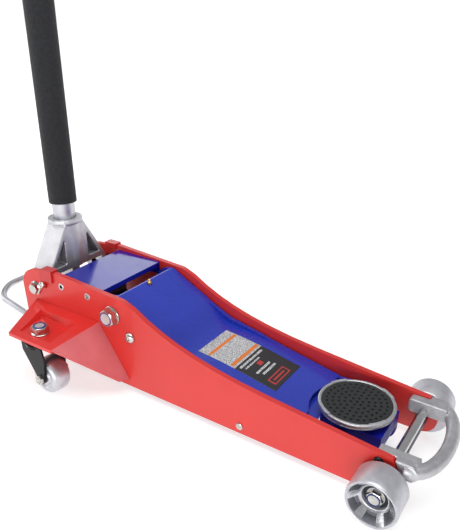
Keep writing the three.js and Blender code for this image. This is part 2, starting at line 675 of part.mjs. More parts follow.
function handleYoke() {
  const slope = (legKnee.y - legTop.y) / (legTop.z - legKnee.z);
  const legShift = legWall * Math.hypot(1, slope);
  const web = barrelBottom + webThickness;
  const half = [[legTop.y, legTop.z], [legKnee.y, legKnee.z], [yokeSide, legKnee.z - 17],
    [yokeSide, -eyeRadius], [yokeSide - 14, -eyeRadius], [yokeSide - 14, barrelBottom]];
  const shape = outline([...half, ...half.map(([y, z]) => [-y, z]).reverse()]);
  const legsAcross = slabYZ(shape, -eyeRadius, eyeRadius);
  const legsAlong = new THREE.Shape();
  legsAlong.absarc(0, 0, eyeRadius, Math.PI, 2 * Math.PI, false);
  legsAlong.lineTo(eyeRadius, collarTop);
  legsAlong.lineTo(-eyeRadius, collarTop);
  const legs = legsAcross.intersect(slabXZ(legsAlong, -chassisWidth, chassisWidth, 12));
  const windowTop = legTop.z - (barrelRadius + 1 + legShift - legTop.y) / slope;
  const windowFoot = legTop.y + (legTop.z - web) * slope - legShift;
  // A triangular recess on each face, either side of a thin middle wall.
  const recess = outline([[barrelRadius + 1, windowTop], [barrelRadius + 1, web], [windowFoot, web]]);
  const opening = join(slabYZ(recess, yokeMiddleWall / 2, eyeRadius + 1),
    slabYZ(recess, -eyeRadius - 1, -yokeMiddleWall / 2));
  const collarFoot = collarTop - collarHeight;
  const barrel = turnedZ([[0, barrelBottom], [barrelRadius, barrelBottom], [barrelRadius, collarFoot - 2],
    [collarRadius, collarFoot], [collarRadius, collarTop], [0, collarTop]], 0, 0, fine);
  const cam = slabXZ(camOutline(), -9, 9);
  const bore = turnedZ(rod(tubeRadius + gap, barrelBottom + 5, collarTop + 1), 0, 0, fine);
  const boltBore = turnedY(rod(yokeBoltRadius + gap, yokeSide - 15, yokeSide + 1), 0, 0, medium);
  const body = join(cut(legs, opening, mirrored(opening)), barrel, cam);
  return cut(body, bore, boltBore, mirrored(boltBore));
}
place('handle_yoke', handleYoke(), castAluminium, handleFrame);

const yokeBoltHead = { flange: 13, acrossFlats: 18, height: 9 };
function yokeBolt() {
  const seat = plateOuter + gap;
  const shank = turnedY([[0, yokeSide - 14], [yokeBoltRadius, yokeSide - 14], [yokeBoltRadius, seat],
    [yokeBoltHead.flange, seat], [yokeBoltHead.flange, seat + 1.2], [9, seat + 3], [0, seat + 3]],
  yokePivot.x, yokePivot.z, medium);
  return join(shank, hexHead(yokeBoltHead.acrossFlats, seat + 1, seat + yokeBoltHead.height, yokePivot));
}
pair('yoke_bolt', yokeBolt(), zinc);

const tubeBottom = barrelBottom + 5 + gap;
const upperTubeWall = 2.5;
place('handle_lower_tube', turnedZ([
  [tubeRadius - tubeWall, tubeBottom], [tubeRadius, tubeBottom], [tubeRadius, lowerTubeTop],
  [upperTubeRadius + gap, lowerTubeTop], [upperTubeRadius + gap, upperTubeBottom - gap],
  [tubeRadius - tubeWall, upperTubeBottom - gap - 4], [tubeRadius - tubeWall, tubeBottom]], 0, 0, fine),
chrome, handleFrame);
place('foam_sleeve', turnedZ([
  [tubeRadius + gap, sleeveBottom], [sleeveRadius - 1.5, sleeveBottom], [sleeveRadius, sleeveBottom + 2],
  [sleeveRadius, sleeveTop - 2], [sleeveRadius - 1.5, sleeveTop], [tubeRadius + gap, sleeveTop],
  [tubeRadius + gap, sleeveBottom]], 0, 0, fine), foam, handleFrame);
place('handle_upper_tube', turnedZ(
  sleeve(upperTubeRadius - upperTubeWall, upperTubeRadius, upperTubeBottom, upperTubeTop), 0, 0, fine),
chrome, handleFrame);
place('handle_grip', turnedZ([
  [upperTubeRadius + gap, upperTubeTop - gripLength], [gripRadius, upperTubeTop - gripLength],
  [gripRadius, upperTubeTop + 3], [gripRadius - 3, upperTubeTop + 6], [0, upperTubeTop + 6],
  [0, upperTubeTop + gap], [upperTubeRadius + gap, upperTubeTop + gap],
  [upperTubeRadius + gap, upperTubeTop - gripLength]], 0, 0, fine), rubber, handleFrame);

// ---- lift arm -----------------------------------------------------------------------

const hump = { x: -474, z: 167 };
const dipStart = { x: -396, z: 128 };
const dipEnd = { x: -335, z: 94 };
const bend = { x: -228, z: 80 };
const saddleClearance = 12.5;
const sheetFront = -136;

// The top line of the arm, from its rounded rear edge to the front.
function sheetTop(shape, lower) {
  shape.moveTo(hump.x, hump.z - lower);
  shape.lineTo(dipStart.x, dipStart.z - lower);
  shape.bezierCurveTo(-372, 113 - lower, -362, 95 - lower, dipEnd.x, dipEnd.z - lower);
  shape.quadraticCurveTo(-290, 91.5 - lower, bend.x, bend.z - lower);
  shape.lineTo(sheetFront, bend.z - 0.19 * (sheetFront - bend.x) - lower);
  return shape;
}

function armSheet() {
  const shape = sheetTop(new THREE.Shape(), 0);
  shape.lineTo(sheetFront, bend.z - 0.19 * (sheetFront - bend.x) - sheetWall);
  shape.lineTo(bend.x, bend.z - sheetWall);
  shape.quadraticCurveTo(-290, 91.5 - sheetWall, dipEnd.x - 1, dipEnd.z - sheetWall);
  shape.bezierCurveTo(-364, 94 - sheetWall, -375, 112 - sheetWall, dipStart.x - 2, dipStart.z - sheetWall);
  shape.lineTo(hump.x + 1, hump.z - sheetWall - 0.5);
  shape.lineTo(hump.x - 5, hump.z - 8);
  shape.lineTo(hump.x - 5, hump.z - 24);
  shape.lineTo(hump.x - 9, hump.z - 24);
  shape.lineTo(hump.x - 9, hump.z - 6);
  shape.quadraticCurveTo(hump.x - 8, hump.z, hump.x, hump.z);
  const bay = turnedZ(rod(saddleRadius + saddleClearance, 0, 200), saddleX, 0, fine);
  return cut(slabXZ(shape, -armHalf, armHalf, 8), bay);
}

function armFlange() {
  const web = new THREE.Shape();
  web.moveTo(hump.x - 9, armPivot.z);
  web.lineTo(hump.x - 9, hump.z - 8);
  web.lineTo(hump.x, hump.z - 1);
  web.lineTo(dipStart.x, dipStart.z - 1);
  web.lineTo(-345, 104);
  web.lineTo(-287, 93);
  web.lineTo(bend.x, bend.z - 1);
  web.lineTo(sheetFront, bend.z - 0.19 * (sheetFront - bend.x) - 1);
  web.lineTo(saddlePin.x, saddlePin.z + noseRadius);
  web.absarc(saddlePin.x, saddlePin.z, noseRadius, Math.PI / 2, -Math.PI / 2, true);
  web.lineTo(-200, 45);
  web.lineTo(-340, 72);
  web.lineTo(-385, 86);
  web.lineTo(linkPivot.x + 25, linkPivot.z - 4);
  web.lineTo(linkPivot.x + 12, linkPivot.z + 9.7);
  web.lineTo(linkPivot.x - 12, linkPivot.z + 9.7);
  const hub = disc(armPivot.x, armPivot.z, hubRadius);
  const inner = armHalf - flangeWall;
  return join(slabXZ(web, inner, armHalf, 8), slabXZ(hub, inner, armHalf, coarse));
}

function liftArm() {
  const flange = armFlange();
  const crossTube = turnedY(rod(armTubeRadius, -armHalf, armHalf), armPivot.x, armPivot.z, medium);
  const crankWeb = new THREE.Shape();
  const around = (radius, at, turn) => [at.x + radius * Math.cos(turn), at.z + radius * Math.sin(turn)];
  crankWeb.moveTo(...around(armTubeRadius, armPivot, Math.PI - crankLead));
  crankWeb.lineTo(...around(crankEye, crankPin, Math.PI - crankLead));
  crankWeb.absarc(crankPin.x, crankPin.z, crankEye, Math.PI - crankLead, 2 * Math.PI - crankLead, false);
  crankWeb.lineTo(...around(armTubeRadius, armPivot, -crankLead));
  const cranks = [crankInner, -crankInner - crankWall].map((low) =>
    slabXZ(crankWeb, low, low + crankWall, 8));
  const shaftBore = rodY(shaftRadius + gap, -armHalf - 1, armHalf + 1, armPivot, medium);
  const crankOuter = crankInner + crankWall;
  const crankBore = rodY(pinRadius + gap, -crankOuter - 1, crankOuter + 1, crankPin, medium);
  const pinBore = rodY(pinRadius + gap, -armHalf - 1, armHalf + 1, saddlePin, medium);
  // A U-shaped floor ties the flanges together below the saddle's bay.
  const floorSide = armHalf - flangeWall + 1;
  const floorRear = sheetFront - noseFloor.behind;
  const floorFront = saddleX - bracketRear - slack * 2;
  const floor = slabXY(outline([[floorRear, -floorSide], [saddlePin.x, -floorSide],
    [saddlePin.x, -noseFloor.ledge], [floorFront, -noseFloor.ledge], [floorFront, noseFloor.ledge],
    [saddlePin.x, noseFloor.ledge], [saddlePin.x, floorSide], [floorRear, floorSide]]),
  noseFloor.z - sheetWall, noseFloor.z);
  const body = join(armSheet(), flange, mirrored(flange), crossTube, floor, ...cranks);
  const nippleBore = box(hump.x + 2, hump.x + 9, -3.5, 3.5, hump.z - 20, hump.z + 5);
  return cut(body, shaftBore, crankBore, pinBore, nippleBore);
}
place('lift_arm', liftArm(), blue);
place('crank_pin', rodY(pinRadius, -crankInner - crankWall, crankInner + crankWall, crankPin, medium), zinc);
place('saddle_pin', rodY(pinRadius, -armHalf, armHalf, saddlePin, medium), zinc);
place('grease_fitting', turnedZ([[0, hump.z - 8], [3, hump.z - 8], [3, hump.z - 0.5], [4, hump.z - 0.5],
  [4, hump.z + 1.6], [2.1, hump.z + 2.4], [2.7, hump.z + 4.8], [1.3, hump.z + 6.4], [0, hump.z + 6.4]],
hump.x + 5.5, 0, 12), brass);

// ---- saddle, its bracket and the level links ----------------------------------------

const stemRadius = 10;
const cheekWall = 8;
const saddleBase = saddleTop - cupHeight;

function saddleBracket() {
  const rear = saddleX - bracketRear;
  const front = saddleX + bracketFront;
  const cheek = new THREE.Shape();
  cheek.moveTo(rear, bracketTop);
  cheek.lineTo(rear, bracketTop - 12);
  cheek.lineTo(saddlePin.x - 14, saddlePin.z - 15);
  cheek.lineTo(linkPin.x - 6, linkPin.z - linkEye);
  cheek.absarc(linkPin.x, linkPin.z, linkEye, -0.6 * Math.PI, -0.25 * Math.PI, false);
  cheek.absarc(front - bracketLobe, linkPin.z + 14, bracketLobe, -0.3 * Math.PI, 0, false);
  cheek.lineTo(front, bracketTop);
  const left = slabXZ(cheek, bracketHalf - cheekWall, bracketHalf, 8);
  const top = box(rear, front, -bracketHalf, bracketHalf, bracketTop - 6, bracketTop);
  const nose = box(front - 5, front, -bracketHalf, bracketHalf, linkPin.z + 20, bracketTop);
  return cut(join(left, mirrored(left), top, nose),
    rodY(pinRadius + gap, -bracketHalf - 1, bracketHalf + 1, saddlePin, medium),
    rodY(linkBoltRadius + gap, -bracketHalf - 1, bracketHalf + 1, linkPin, medium),
    turnedZ(rod(stemRadius + gap, bracketTop - 7, bracketTop + 1), saddleX, 0, medium));
}
place('saddle_bracket', saddleBracket(), blue);

function levelLink() {
  const span = { x: linkPin.x - linkPivot.x, z: linkPin.z - linkPivot.z };
  const length = Math.hypot(span.x, span.z);
  const side = { x: -span.z / length * linkDepth / 2, z: span.x / length * linkDepth / 2 };
  const bar = outline([
    [linkPivot.x + side.x, linkPivot.z + side.z], [linkPivot.x - side.x, linkPivot.z - side.z],
    [linkPin.x - side.x, linkPin.z - side.z], [linkPin.x + side.x, linkPin.z + side.z]]);
  const outer = linkInner + linkWall;
  const eyes = [linkPivot, linkPin].map((at) => rodY(linkEye, linkInner, outer, at, medium));
  const bores = [linkPivot, linkPin].map((at) =>
    rodY(linkBoltRadius + gap, linkInner - 1, outer + 1, at, coarse));
  return cut(join(slabXZ(bar, linkInner, outer), ...eyes), ...bores);
}
pair('level_link', levelLink(), darkSteel);

const linkPinEnd = linkInner + linkWall + gap;
place('level_link_pin', turnedY([[0, -linkPinEnd - 4], [8.5, -linkPinEnd - 4], [8.5, -linkPinEnd],
  [linkBoltRadius, -linkPinEnd], [linkBoltRadius, linkPinEnd], [8.5, linkPinEnd],
  [8.5, linkPinEnd + 4], [0, linkPinEnd + 4]], linkPin.x, linkPin.z, medium), zinc);

function saddleCup() {
  const rim = saddleTop - 1.3;
  const bowl = turnedZ([[0, bracketTop - 7], [stemRadius, bracketTop - 7], [stemRadius, bracketTop + gap],
    [saddleRadius - 22, bracketTop + gap], [saddleRadius - 22, saddleBase],
    [saddleRadius - 4, saddleBase + 4],
    [saddleRadius, saddleBase + 9], [saddleRadius, rim], [saddleRadius - saddleRim, rim],
    [saddleRadius - saddleRim, rim - padDepth], [0, rim - padDepth]], saddleX, 0, veryFine);
  const lugs = [];
  for (let i = 0; i < 4; i += 1) {
    const lug = new THREE.Shape();
    const middle = Math.PI / 4 + 0.15 + i * Math.PI / 2;
    lug.absarc(0, 0, saddleRadius, middle - 0.24, middle + 0.24, false);
    lug.absarc(0, 0, saddleRadius - saddleRim, middle + 0.24, middle - 0.24, true);
    lugs.push(shifted(slabXY(lug, rim - 0.5, saddleTop + 1, 5), saddleX, 0, 0));
  }
  return join(bowl, ...lugs);
}
place('saddle_cup', saddleCup(), castAluminium);
const padFoot = saddleTop - 1.3 - padDepth + gap;
place('saddle_pad', turnedZ(
  rod(saddleRadius - saddleRim - gap, padFoot, saddleTop - 1), saddleX, 0, veryFine), rubber);

// ---- front wheels -------------------------------------------------------------------

function frontWheel() {
  const bore = axleRadius + gap;
  const hubFace = axleNutFace - axleNutHeight - gap;
  const body = turnedY([[bore, wheelInner], [wheelRadius - 5, wheelInner], [wheelRadius, wheelInner + 3],
    [wheelRadius, wheelOuter - 7], [wheelRadius - 2, wheelOuter - 2], [wheelRadius - 4.5, wheelOuter],
    [wheelRadius - 7, wheelOuter - 0.5], [wheelRadius - 17, hubFace], [bore, hubFace], [bore, wheelInner]],
  axle.x, axle.z, fine);
  const pockets = turnedY(sleeve(16.5, wheelRadius - 5.5, wheelInner + 8, wheelOuter - 9), 0, 0, fine);
  const spokes = [];
  const wide = new THREE.Shape([new THREE.Vector2(-3.5, 0), new THREE.Vector2(3.5, 0),
    new THREE.Vector2(4.5, wheelRadius), new THREE.Vector2(-4.5, wheelRadius)]);
  for (let i = 0; i < 6; i += 1) {
    const geometry = toGeometry(slabXZ(wide, wheelInner, wheelOuter));
    spokes.push(toSolid(geometry.rotateY(i * Math.PI / 3 + 0.3)));
  }
  return cut(body, shifted(cut(pockets, ...spokes), axle.x, 0, axle.z));
}
pair('front_wheel', frontWheel(), castAluminium);

// ---- casters ------------------------------------------------------------------------

const raceTop = panBottom - 2 - gap;
const raceBottom = raceTop - 7;
const crownWall = 5;
const casterAxleRadius = 5;
const casterNutSeat = panFloor + gap;
const casterNutHeight = 15;

// A caster is drawn about its swivel axis, trailing along +X.
function casterFork() {
  const inner = casterWheelWidth / 2 + slack;
  const outer = inner + forkWall;
  const top = raceBottom - gap;
  const eye = 9.5;
  const leg = new THREE.Shape();
  leg.moveTo(-crownRadius + 2, top);
  leg.lineTo(-crownRadius + 3, top - 14);
  leg.lineTo(casterTrail - eye, casterWheelRadius);
  leg.absarc(casterTrail, casterWheelRadius, eye, Math.PI, 2 * Math.PI, false);
  leg.lineTo(crownRadius + 5, top - 18);
  leg.lineTo(crownRadius, top);
  const crown = turnedZ(rod(crownRadius, top - crownWall, top), 0, 0, fine);
  const stem = turnedZ(rod(casterStudRadius, top - 1, casterNutSeat + casterNutHeight - 1), 0, 0, coarse);
  const eyeAt = { x: casterTrail, z: casterWheelRadius };
  const bore = rodY(casterAxleRadius + gap, -outer - 1, outer + 1, eyeAt, coarse);
  return cut(join(slabXZ(leg, inner, outer), slabXZ(leg, -outer, -inner), crown, stem), bore);
}

function casterAxle() {
  const reach = casterWheelWidth / 2 + slack + forkWall + gap;
  const shaft = turnedY(rod(casterAxleRadius, -reach - 8, reach + 8), 0, 0, coarse);
  const heads = [[-reach - 6, -reach], [reach, reach + 6]].map(([low, high]) =>
    hexHead(15, low, high, { x: 0, z: 0 }));
  return shifted(join(shaft, ...heads), casterTrail, 0, casterWheelRadius);
}

function casterWheel() {
  const half = casterWheelWidth / 2;
  const bore = casterAxleRadius + gap;
  const edge = casterWheelRadius;
  const side = [[bore, half], [edge * 0.42, half], [edge * 0.5, half - 3], [edge * 0.64, half - 3],
    [edge * 0.7, half - 0.5], [edge * 0.82, half - 0.5], [edge - 2, half - 4], [edge, half - 9]];
  const profile = [...side.map(([radius, y]) => [radius, -y]), ...side.slice().reverse(), [bore, -half]];
  return turnedY(profile, casterTrail, casterWheelRadius, fine);
}

function casterNut() {
  const flats = 26;
  const body = join(
    turnedZ(rod(flats / Math.sqrt(3), casterNutSeat + washer - 0.2, casterNutSeat + casterNutHeight),
      0, 0, 6),
    turnedZ(rod(flats * 0.58, casterNutSeat, casterNutSeat + washer), 0, 0, medium));
  const bore = rod(casterStudRadius + gap, casterNutSeat - 1, casterNutSeat + casterNutHeight + 1);
  return cut(body, turnedZ(bore, 0, 0, coarse));
}

for (const [word, side] of sides) {
  const caster = new THREE.Group();
  caster.position.set(casterX, side * casterY, 0);
  caster.rotation.z = side * casterTurn;
  jack.add(caster);
  place(`caster_race_${word}`, turnedZ(
    sleeve(casterStudRadius + gap, raceRadius, raceBottom, raceTop), 0, 0, medium), zinc, caster);
  place(`caster_fork_${word}`, casterFork(), blackPaint, caster);
  place(`caster_wheel_${word}`, casterWheel(), castAluminium, caster);
  place(`caster_axle_${word}`, casterAxle(), zinc, caster);
  place(`caster_nut_${word}`, casterNut(), zinc, caster);
}

// ---- origin at the bottom centre ----------------------------------------------------

const bounds = new THREE.Box3().setFromObject(jack, true);
const middle = bounds.getCenter(new THREE.Vector3());
jack.position.set(-middle.x, -middle.y, -bounds.min.z);

export default jack;
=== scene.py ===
import json
import math
import random

import bmesh
import bpy
from mathutils import Matrix, Vector
from mathutils.bvhtree import BVHTree


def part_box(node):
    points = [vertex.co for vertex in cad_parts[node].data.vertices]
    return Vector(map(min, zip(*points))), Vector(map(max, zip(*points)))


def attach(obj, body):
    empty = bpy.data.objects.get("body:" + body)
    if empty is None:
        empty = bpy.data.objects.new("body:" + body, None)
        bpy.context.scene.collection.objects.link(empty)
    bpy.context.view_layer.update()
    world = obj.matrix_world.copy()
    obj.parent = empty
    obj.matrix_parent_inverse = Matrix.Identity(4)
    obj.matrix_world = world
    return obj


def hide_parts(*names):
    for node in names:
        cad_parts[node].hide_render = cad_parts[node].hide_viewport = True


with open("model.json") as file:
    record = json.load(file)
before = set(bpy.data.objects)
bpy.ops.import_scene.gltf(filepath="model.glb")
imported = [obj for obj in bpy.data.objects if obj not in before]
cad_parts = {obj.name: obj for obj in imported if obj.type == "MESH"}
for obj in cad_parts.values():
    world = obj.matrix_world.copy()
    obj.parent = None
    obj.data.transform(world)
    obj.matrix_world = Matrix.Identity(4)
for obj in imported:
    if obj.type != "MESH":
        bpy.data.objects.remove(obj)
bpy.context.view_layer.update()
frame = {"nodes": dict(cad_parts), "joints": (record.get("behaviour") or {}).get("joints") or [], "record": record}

mm = 0.001
collection = bpy.context.scene.collection
jointAt = {joint["name"]: joint for joint in frame["joints"]}
bodyOfNode = {node: body for body, nodes in frame["record"]["behaviour"]["bodies"].items() for node in nodes}


# materials: a small node builder, then one function per finish

def link(tree, start, end):
    tree.links.new(start, end)


def objectPoint(tree, scale=(1, 1, 1), centre=(0, 0, 0)):
    coord = tree.nodes.new("ShaderNodeTexCoord")
    mapping = tree.nodes.new("ShaderNodeMapping")
    mapping.vector_type = "TEXTURE" if centre != (0, 0, 0) else "POINT"
    if centre != (0, 0, 0):
        mapping.inputs["Location"].default_value = centre
        mapping.inputs["Scale"].default_value = tuple(1 / s for s in scale)
    else:
        mapping.inputs["Scale"].default_value = scale
    link(tree, coord.outputs["Object"], mapping.inputs["Vector"])
    return mapping.outputs["Vector"]


def noise(tree, point, scale, detail=3, rough=0.55):
    node = tree.nodes.new("ShaderNodeTexNoise")
    node.inputs["Scale"].default_value = scale
    node.inputs["Detail"].default_value = detail
    node.inputs["Roughness"].default_value = rough
    link(tree, point, node.inputs["Vector"])
    return node.outputs["Fac"]


def cells(tree, point, scale):
    node = tree.nodes.new("ShaderNodeTexVoronoi")
    node.inputs["Scale"].default_value = scale
    link(tree, point, node.inputs["Vector"])
    return node.outputs["Distance"]


def spread(tree, value, low, high, toLow, toHigh):
    node = tree.nodes.new("ShaderNodeMapRange")
    for name, number in (("From Min", low), ("From Max", high), ("To Min", toLow), ("To Max", toHigh)):
        node.inputs[name].default_value = number
    link(tree, value, node.inputs["Value"])
    return node.outputs["Result"]


def ramp(tree, value, stops):
    node = tree.nodes.new("ShaderNodeValToRGB")
    elements = node.color_ramp.elements
    while len(elements) < len(stops):
        elements.new(0.5)
    for element, (place, colour) in zip(elements, stops):
        element.position = place
        element.color = (*colour, 1)
    link(tree, value, node.inputs["Fac"])
    return node.outputs["Color"]


def bump(tree, shader, height, strength, distance):
    node = tree.nodes.new("ShaderNodeBump")
    node.inputs["Strength"].default_value = strength
    node.inputs["Distance"].default_value = distance
    link(tree, height, node.inputs["Height"])
    if shader.inputs["Normal"].is_linked:
        link(tree, shader.inputs["Normal"].links[0].from_socket, node.inputs["Normal"])
    link(tree, node.outputs["Normal"], shader.inputs["Normal"])


def finish(name, metallic=0.0, coat=0.0, specular=0.5):
    material = bpy.data.materials.new(name)
    material.use_nodes = True
    shader = material.node_tree.nodes["Principled BSDF"]
    shader.inputs["Metallic"].default_value = metallic
    shader.inputs["Coat Weight"].default_value = coat
    shader.inputs["Coat Roughness"].default_value = 0.08
    shader.inputs["Specular IOR Level"].default_value = specular
    return material, material.node_tree, shader


def powderCoat(name, colour, deeper, rough, coat=0.2, peel=0.18, grain=0.0, specular=0.5):
    material, tree, shader = finish(name, coat=coat, specular=specular)
    point = objectPoint(tree)
    cloud = noise(tree, point, 9, 4)
    link(tree, ramp(tree, cloud, [(0.3, deeper), (0.7, colour)]), shader.inputs["Base Color"])
    link(tree, spread(tree, noise(tree, point, 60, 3), 0.3, 0.7, rough - 0.05, rough + 0.06),
         shader.inputs["Roughness"])
    bump(tree, shader, noise(tree, point, 420, 2), peel, 0.0004)
    if grain:
        bump(tree, shader, noise(tree, point, 1500, 2, 0.7), grain, 0.0005)
    return material


def castMetal(name, colour, deeper, rough, grain=0.35, metallic=0.85):
    material, tree, shader = finish(name, metallic=metallic)
    point = objectPoint(tree)
    mottle = noise(tree, point, 45, 5, 0.65)
    link(tree, ramp(tree, mottle, [(0.32, deeper), (0.66, colour)]), shader.inputs["Base Color"])
    link(tree, spread(tree, noise(tree, point, 130, 4), 0.3, 0.7, rough - 0.08, rough + 0.1),
         shader.inputs["Roughness"])
    bump(tree, shader, noise(tree, point, 750, 4, 0.7), grain, 0.0006)
    bump(tree, shader, cells(tree, point, 260), grain * 0.25, 0.0006)
    return material


def turnedMetal(name, colour, deeper, rough, axis, centre, pitch=0.0006, depth=0.12, metallic=0.9):
    material, tree, shader = finish(name, metallic=metallic)
    point = objectPoint(tree, centre=centre)
    split = tree.nodes.new("ShaderNodeSeparateXYZ")
    link(tree, point, split.inputs["Vector"])
    flat = tree.nodes.new("ShaderNodeCombineXYZ")
    for letter in "XYZ":
        if letter != axis:
            link(tree, split.outputs[letter], flat.inputs[letter])
    length = tree.nodes.new("ShaderNodeVectorMath")
    length.operation = "LENGTH"
    link(tree, flat.outputs["Vector"], length.inputs[0])
    total = tree.nodes.new("ShaderNodeMath")    # radius plus height, so faces and sides both carry tool marks
    total.operation = "ADD"
    link(tree, length.outputs["Value"], total.inputs[0])
    link(tree, split.outputs[axis], total.inputs[1])
    line = tree.nodes.new("ShaderNodeTexNoise")
    line.noise_dimensions = "1D"
    line.inputs["Scale"].default_value = 1 / pitch
    line.inputs["Detail"].default_value = 2
    link(tree, total.outputs["Value"], line.inputs["W"])
    mottle = noise(tree, objectPoint(tree), 70, 4)
    link(tree, ramp(tree, mottle, [(0.3, deeper), (0.7, colour)]), shader.inputs["Base Color"])
    link(tree, spread(tree, line.outputs["Fac"], 0.3, 0.7, rough - 0.07, rough + 0.08),
         shader.inputs["Roughness"])
    bump(tree, shader, line.outputs["Fac"], depth, 0.0003)
    bump(tree, shader, noise(tree, objectPoint(tree), 900, 3), depth * 0.7, 0.0004)
    return material


def plated(name, colour, deeper, rough, smear=40, pits=0.06):
    material, tree, shader = finish(name, metallic=1)
    point = objectPoint(tree)
    haze = noise(tree, point, smear, 4)
    link(tree, ramp(tree, haze, [(0.3, deeper), (0.7, colour)]), shader.inputs["Base Color"])
    link(tree, spread(tree, haze, 0.3, 0.7, rough, rough + 0.12), shader.inputs["Roughness"])
    bump(tree, shader, noise(tree, point, 500, 3), pits, 0.0003)
    return material


def softBlack(name, colour, deeper, rough, size, depth):
    material, tree, shader = finish(name, specular=0.35)
    point = objectPoint(tree)
    link(tree, ramp(tree, noise(tree, point, size * 0.3, 4), [(0.3, deeper), (0.7, colour)]),
         shader.inputs["Base Color"])
    link(tree, spread(tree, noise(tree, point, size, 2), 0.3, 0.7, rough - 0.08, rough + 0.08),
         shader.inputs["Roughness"])
    bump(tree, shader, cells(tree, point, size), depth, 0.0007)
    bump(tree, shader, noise(tree, point, size * 1.7, 3, 0.7), depth, 0.0006)
    shader.inputs["Sheen Weight"].default_value = 0.08
    return material


coralRed = powderCoat("coralRed", (0.62, 0.026, 0.020), (0.56, 0.021, 0.016), 0.42)
wingRed = powderCoat("wingRed", (0.66, 0.022, 0.017), (0.58, 0.018, 0.013), 0.36, coat=0.3)
# lighter pink-red with a grainy bump: a painted reflection for the caster wing gussets
gussetPaintedSheen = powderCoat("gussetPaintedSheen", (0.66, 0.15, 0.16), (0.52, 0.07, 0.08), 0.6, coat=0, grain=1.0)
clipRed = powderCoat("clipRed", (0.52, 0.012, 0.012), (0.46, 0.010, 0.010), 0.33)
royalBlue = powderCoat("royalBlue", (0.018, 0.040, 0.42), (0.014, 0.033, 0.38), 0.26, coat=0.3, peel=0.08)
deepBlue = powderCoat("deepBlue", (0.006, 0.010, 0.32), (0.004, 0.008, 0.27), 0.2, coat=0.4, peel=0.1)
bracketBlue = powderCoat("bracketBlue", (0.006, 0.009, 0.30), (0.004, 0.007, 0.25), 0.4, coat=0, peel=0.1,
                         specular=0.2)
studSteel = castMetal("studSteel", (0.62, 0.57, 0.57), (0.46, 0.43, 0.43), 0.42, grain=0.1, metallic=0.35)
# paler cast finish: a painted highlight on the yoke legs' outer slopes
castPaintedHighlight = castMetal("castPaintedHighlight", (0.72, 0.72, 0.74), (0.62, 0.62, 0.65), 0.42, grain=0.3, metallic=0.65)
castSilver = castMetal("castSilver", (0.56, 0.56, 0.58), (0.42, 0.42, 0.44), 0.42, metallic=0.75)
castBright = castMetal("castBright", (0.62, 0.62, 0.65), (0.50, 0.50, 0.53), 0.4, grain=0.3, metallic=0.8)
# darker cast finish: painted shade in the yoke's recesses
castShade = castMetal("castShade", (0.34, 0.34, 0.36), (0.20, 0.20, 0.22), 0.5, grain=0.45, metallic=0.6)
ringSilver = castMetal("ringSilver", (0.60, 0.60, 0.62), (0.44, 0.44, 0.46), 0.34, grain=0.2)
zincPlate = plated("zincPlate", (0.72, 0.71, 0.68), (0.44, 0.43, 0.41), 0.13)
zincPale = plated("zincPale", (0.66, 0.66, 0.69), (0.52, 0.52, 0.55), 0.28, pits=0.04)
satinChrome = plated("satinChrome", (0.62, 0.62, 0.66), (0.54, 0.54, 0.58), 0.3, pits=0.02)
brightChrome = plated("brightChrome", (0.68, 0.67, 0.67), (0.58, 0.57, 0.57), 0.1, pits=0.01)
glossBlack = powderCoat("glossBlack", (0.007, 0.007, 0.008), (0.004, 0.004, 0.005), 0.16, coat=0.02, peel=0.1,
                        specular=0.2)
oxideSteel = castMetal("oxideSteel", (0.10, 0.11, 0.15), (0.05, 0.055, 0.08), 0.4, grain=0.15)
unitPaint = powderCoat("unitPaint", (0.035, 0.037, 0.045), (0.022, 0.024, 0.03), 0.5, coat=0, peel=0.4)
mouldedRubber = softBlack("mouldedRubber", (0.016, 0.017, 0.018), (0.011, 0.012, 0.013), 0.62, 700, 0.25)
# near-black rubber for the pad's dimple floors: painted shade in the pits
dimplePaintedShade = softBlack("dimplePaintedShade", (0.002, 0.002, 0.002), (0.001, 0.001, 0.001), 0.9, 700, 0.3)
closedFoam = softBlack("closedFoam", (0.014, 0.015, 0.018), (0.008, 0.008, 0.010), 0.78, 620, 0.6)
bareBrass = plated("bareBrass", (0.72, 0.47, 0.17), (0.55, 0.34, 0.11), 0.25)
nylonBlue = softBlack("nylonBlue", (0.02, 0.05, 0.26), (0.015, 0.035, 0.2), 0.4, 500, 0.1)
print("materials ready")


# mesh helpers

def smoothed(mesh, angle):
    mesh.shade_smooth()
    mesh.set_sharp_from_angle(angle=math.radians(angle))


def addPiece(name, bm, materials, node, angle=32, replaced=True, weighted=False):
    mesh = bpy.data.meshes.new(name)
    bm.to_mesh(mesh)
    bm.free()
    smoothed(mesh, angle)
    piece = bpy.data.objects.new(name, mesh)
    for material in materials if isinstance(materials, (list, tuple)) else [materials]:
        mesh.materials.append(material)
    collection.objects.link(piece)
    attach(piece, bodyOfNode[node])
    if replaced:
        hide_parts(node)
    if weighted:    # flat faces stay flat beside their rounded edges
        even = piece.modifiers.new("WeightedNormal", "WEIGHTED_NORMAL")
        even.keep_sharp = True
    return piece


def joined(parts):
    whole = bmesh.new()
    for part in parts:
        mesh = bpy.data.meshes.new("part")
        part.to_mesh(mesh)
        part.free()
        whole.from_mesh(mesh)
        bpy.data.meshes.remove(mesh)
    return whole


def paint(bm, index):
    for face in bm.faces:
        face.material_index = index
    return bm


def frameCopy(node, flat=True):
    bm = bmesh.new()
    bm.from_mesh(frame["nodes"][node].data)
    bmesh.ops.remove_doubles(bm, verts=bm.verts, dist=0.01 * mm)
    if flat:
        bmesh.ops.dissolve_limit(bm, angle_limit=math.radians(0.6), verts=bm.verts, edges=bm.edges)
    paint(bm, 0)
    return bm


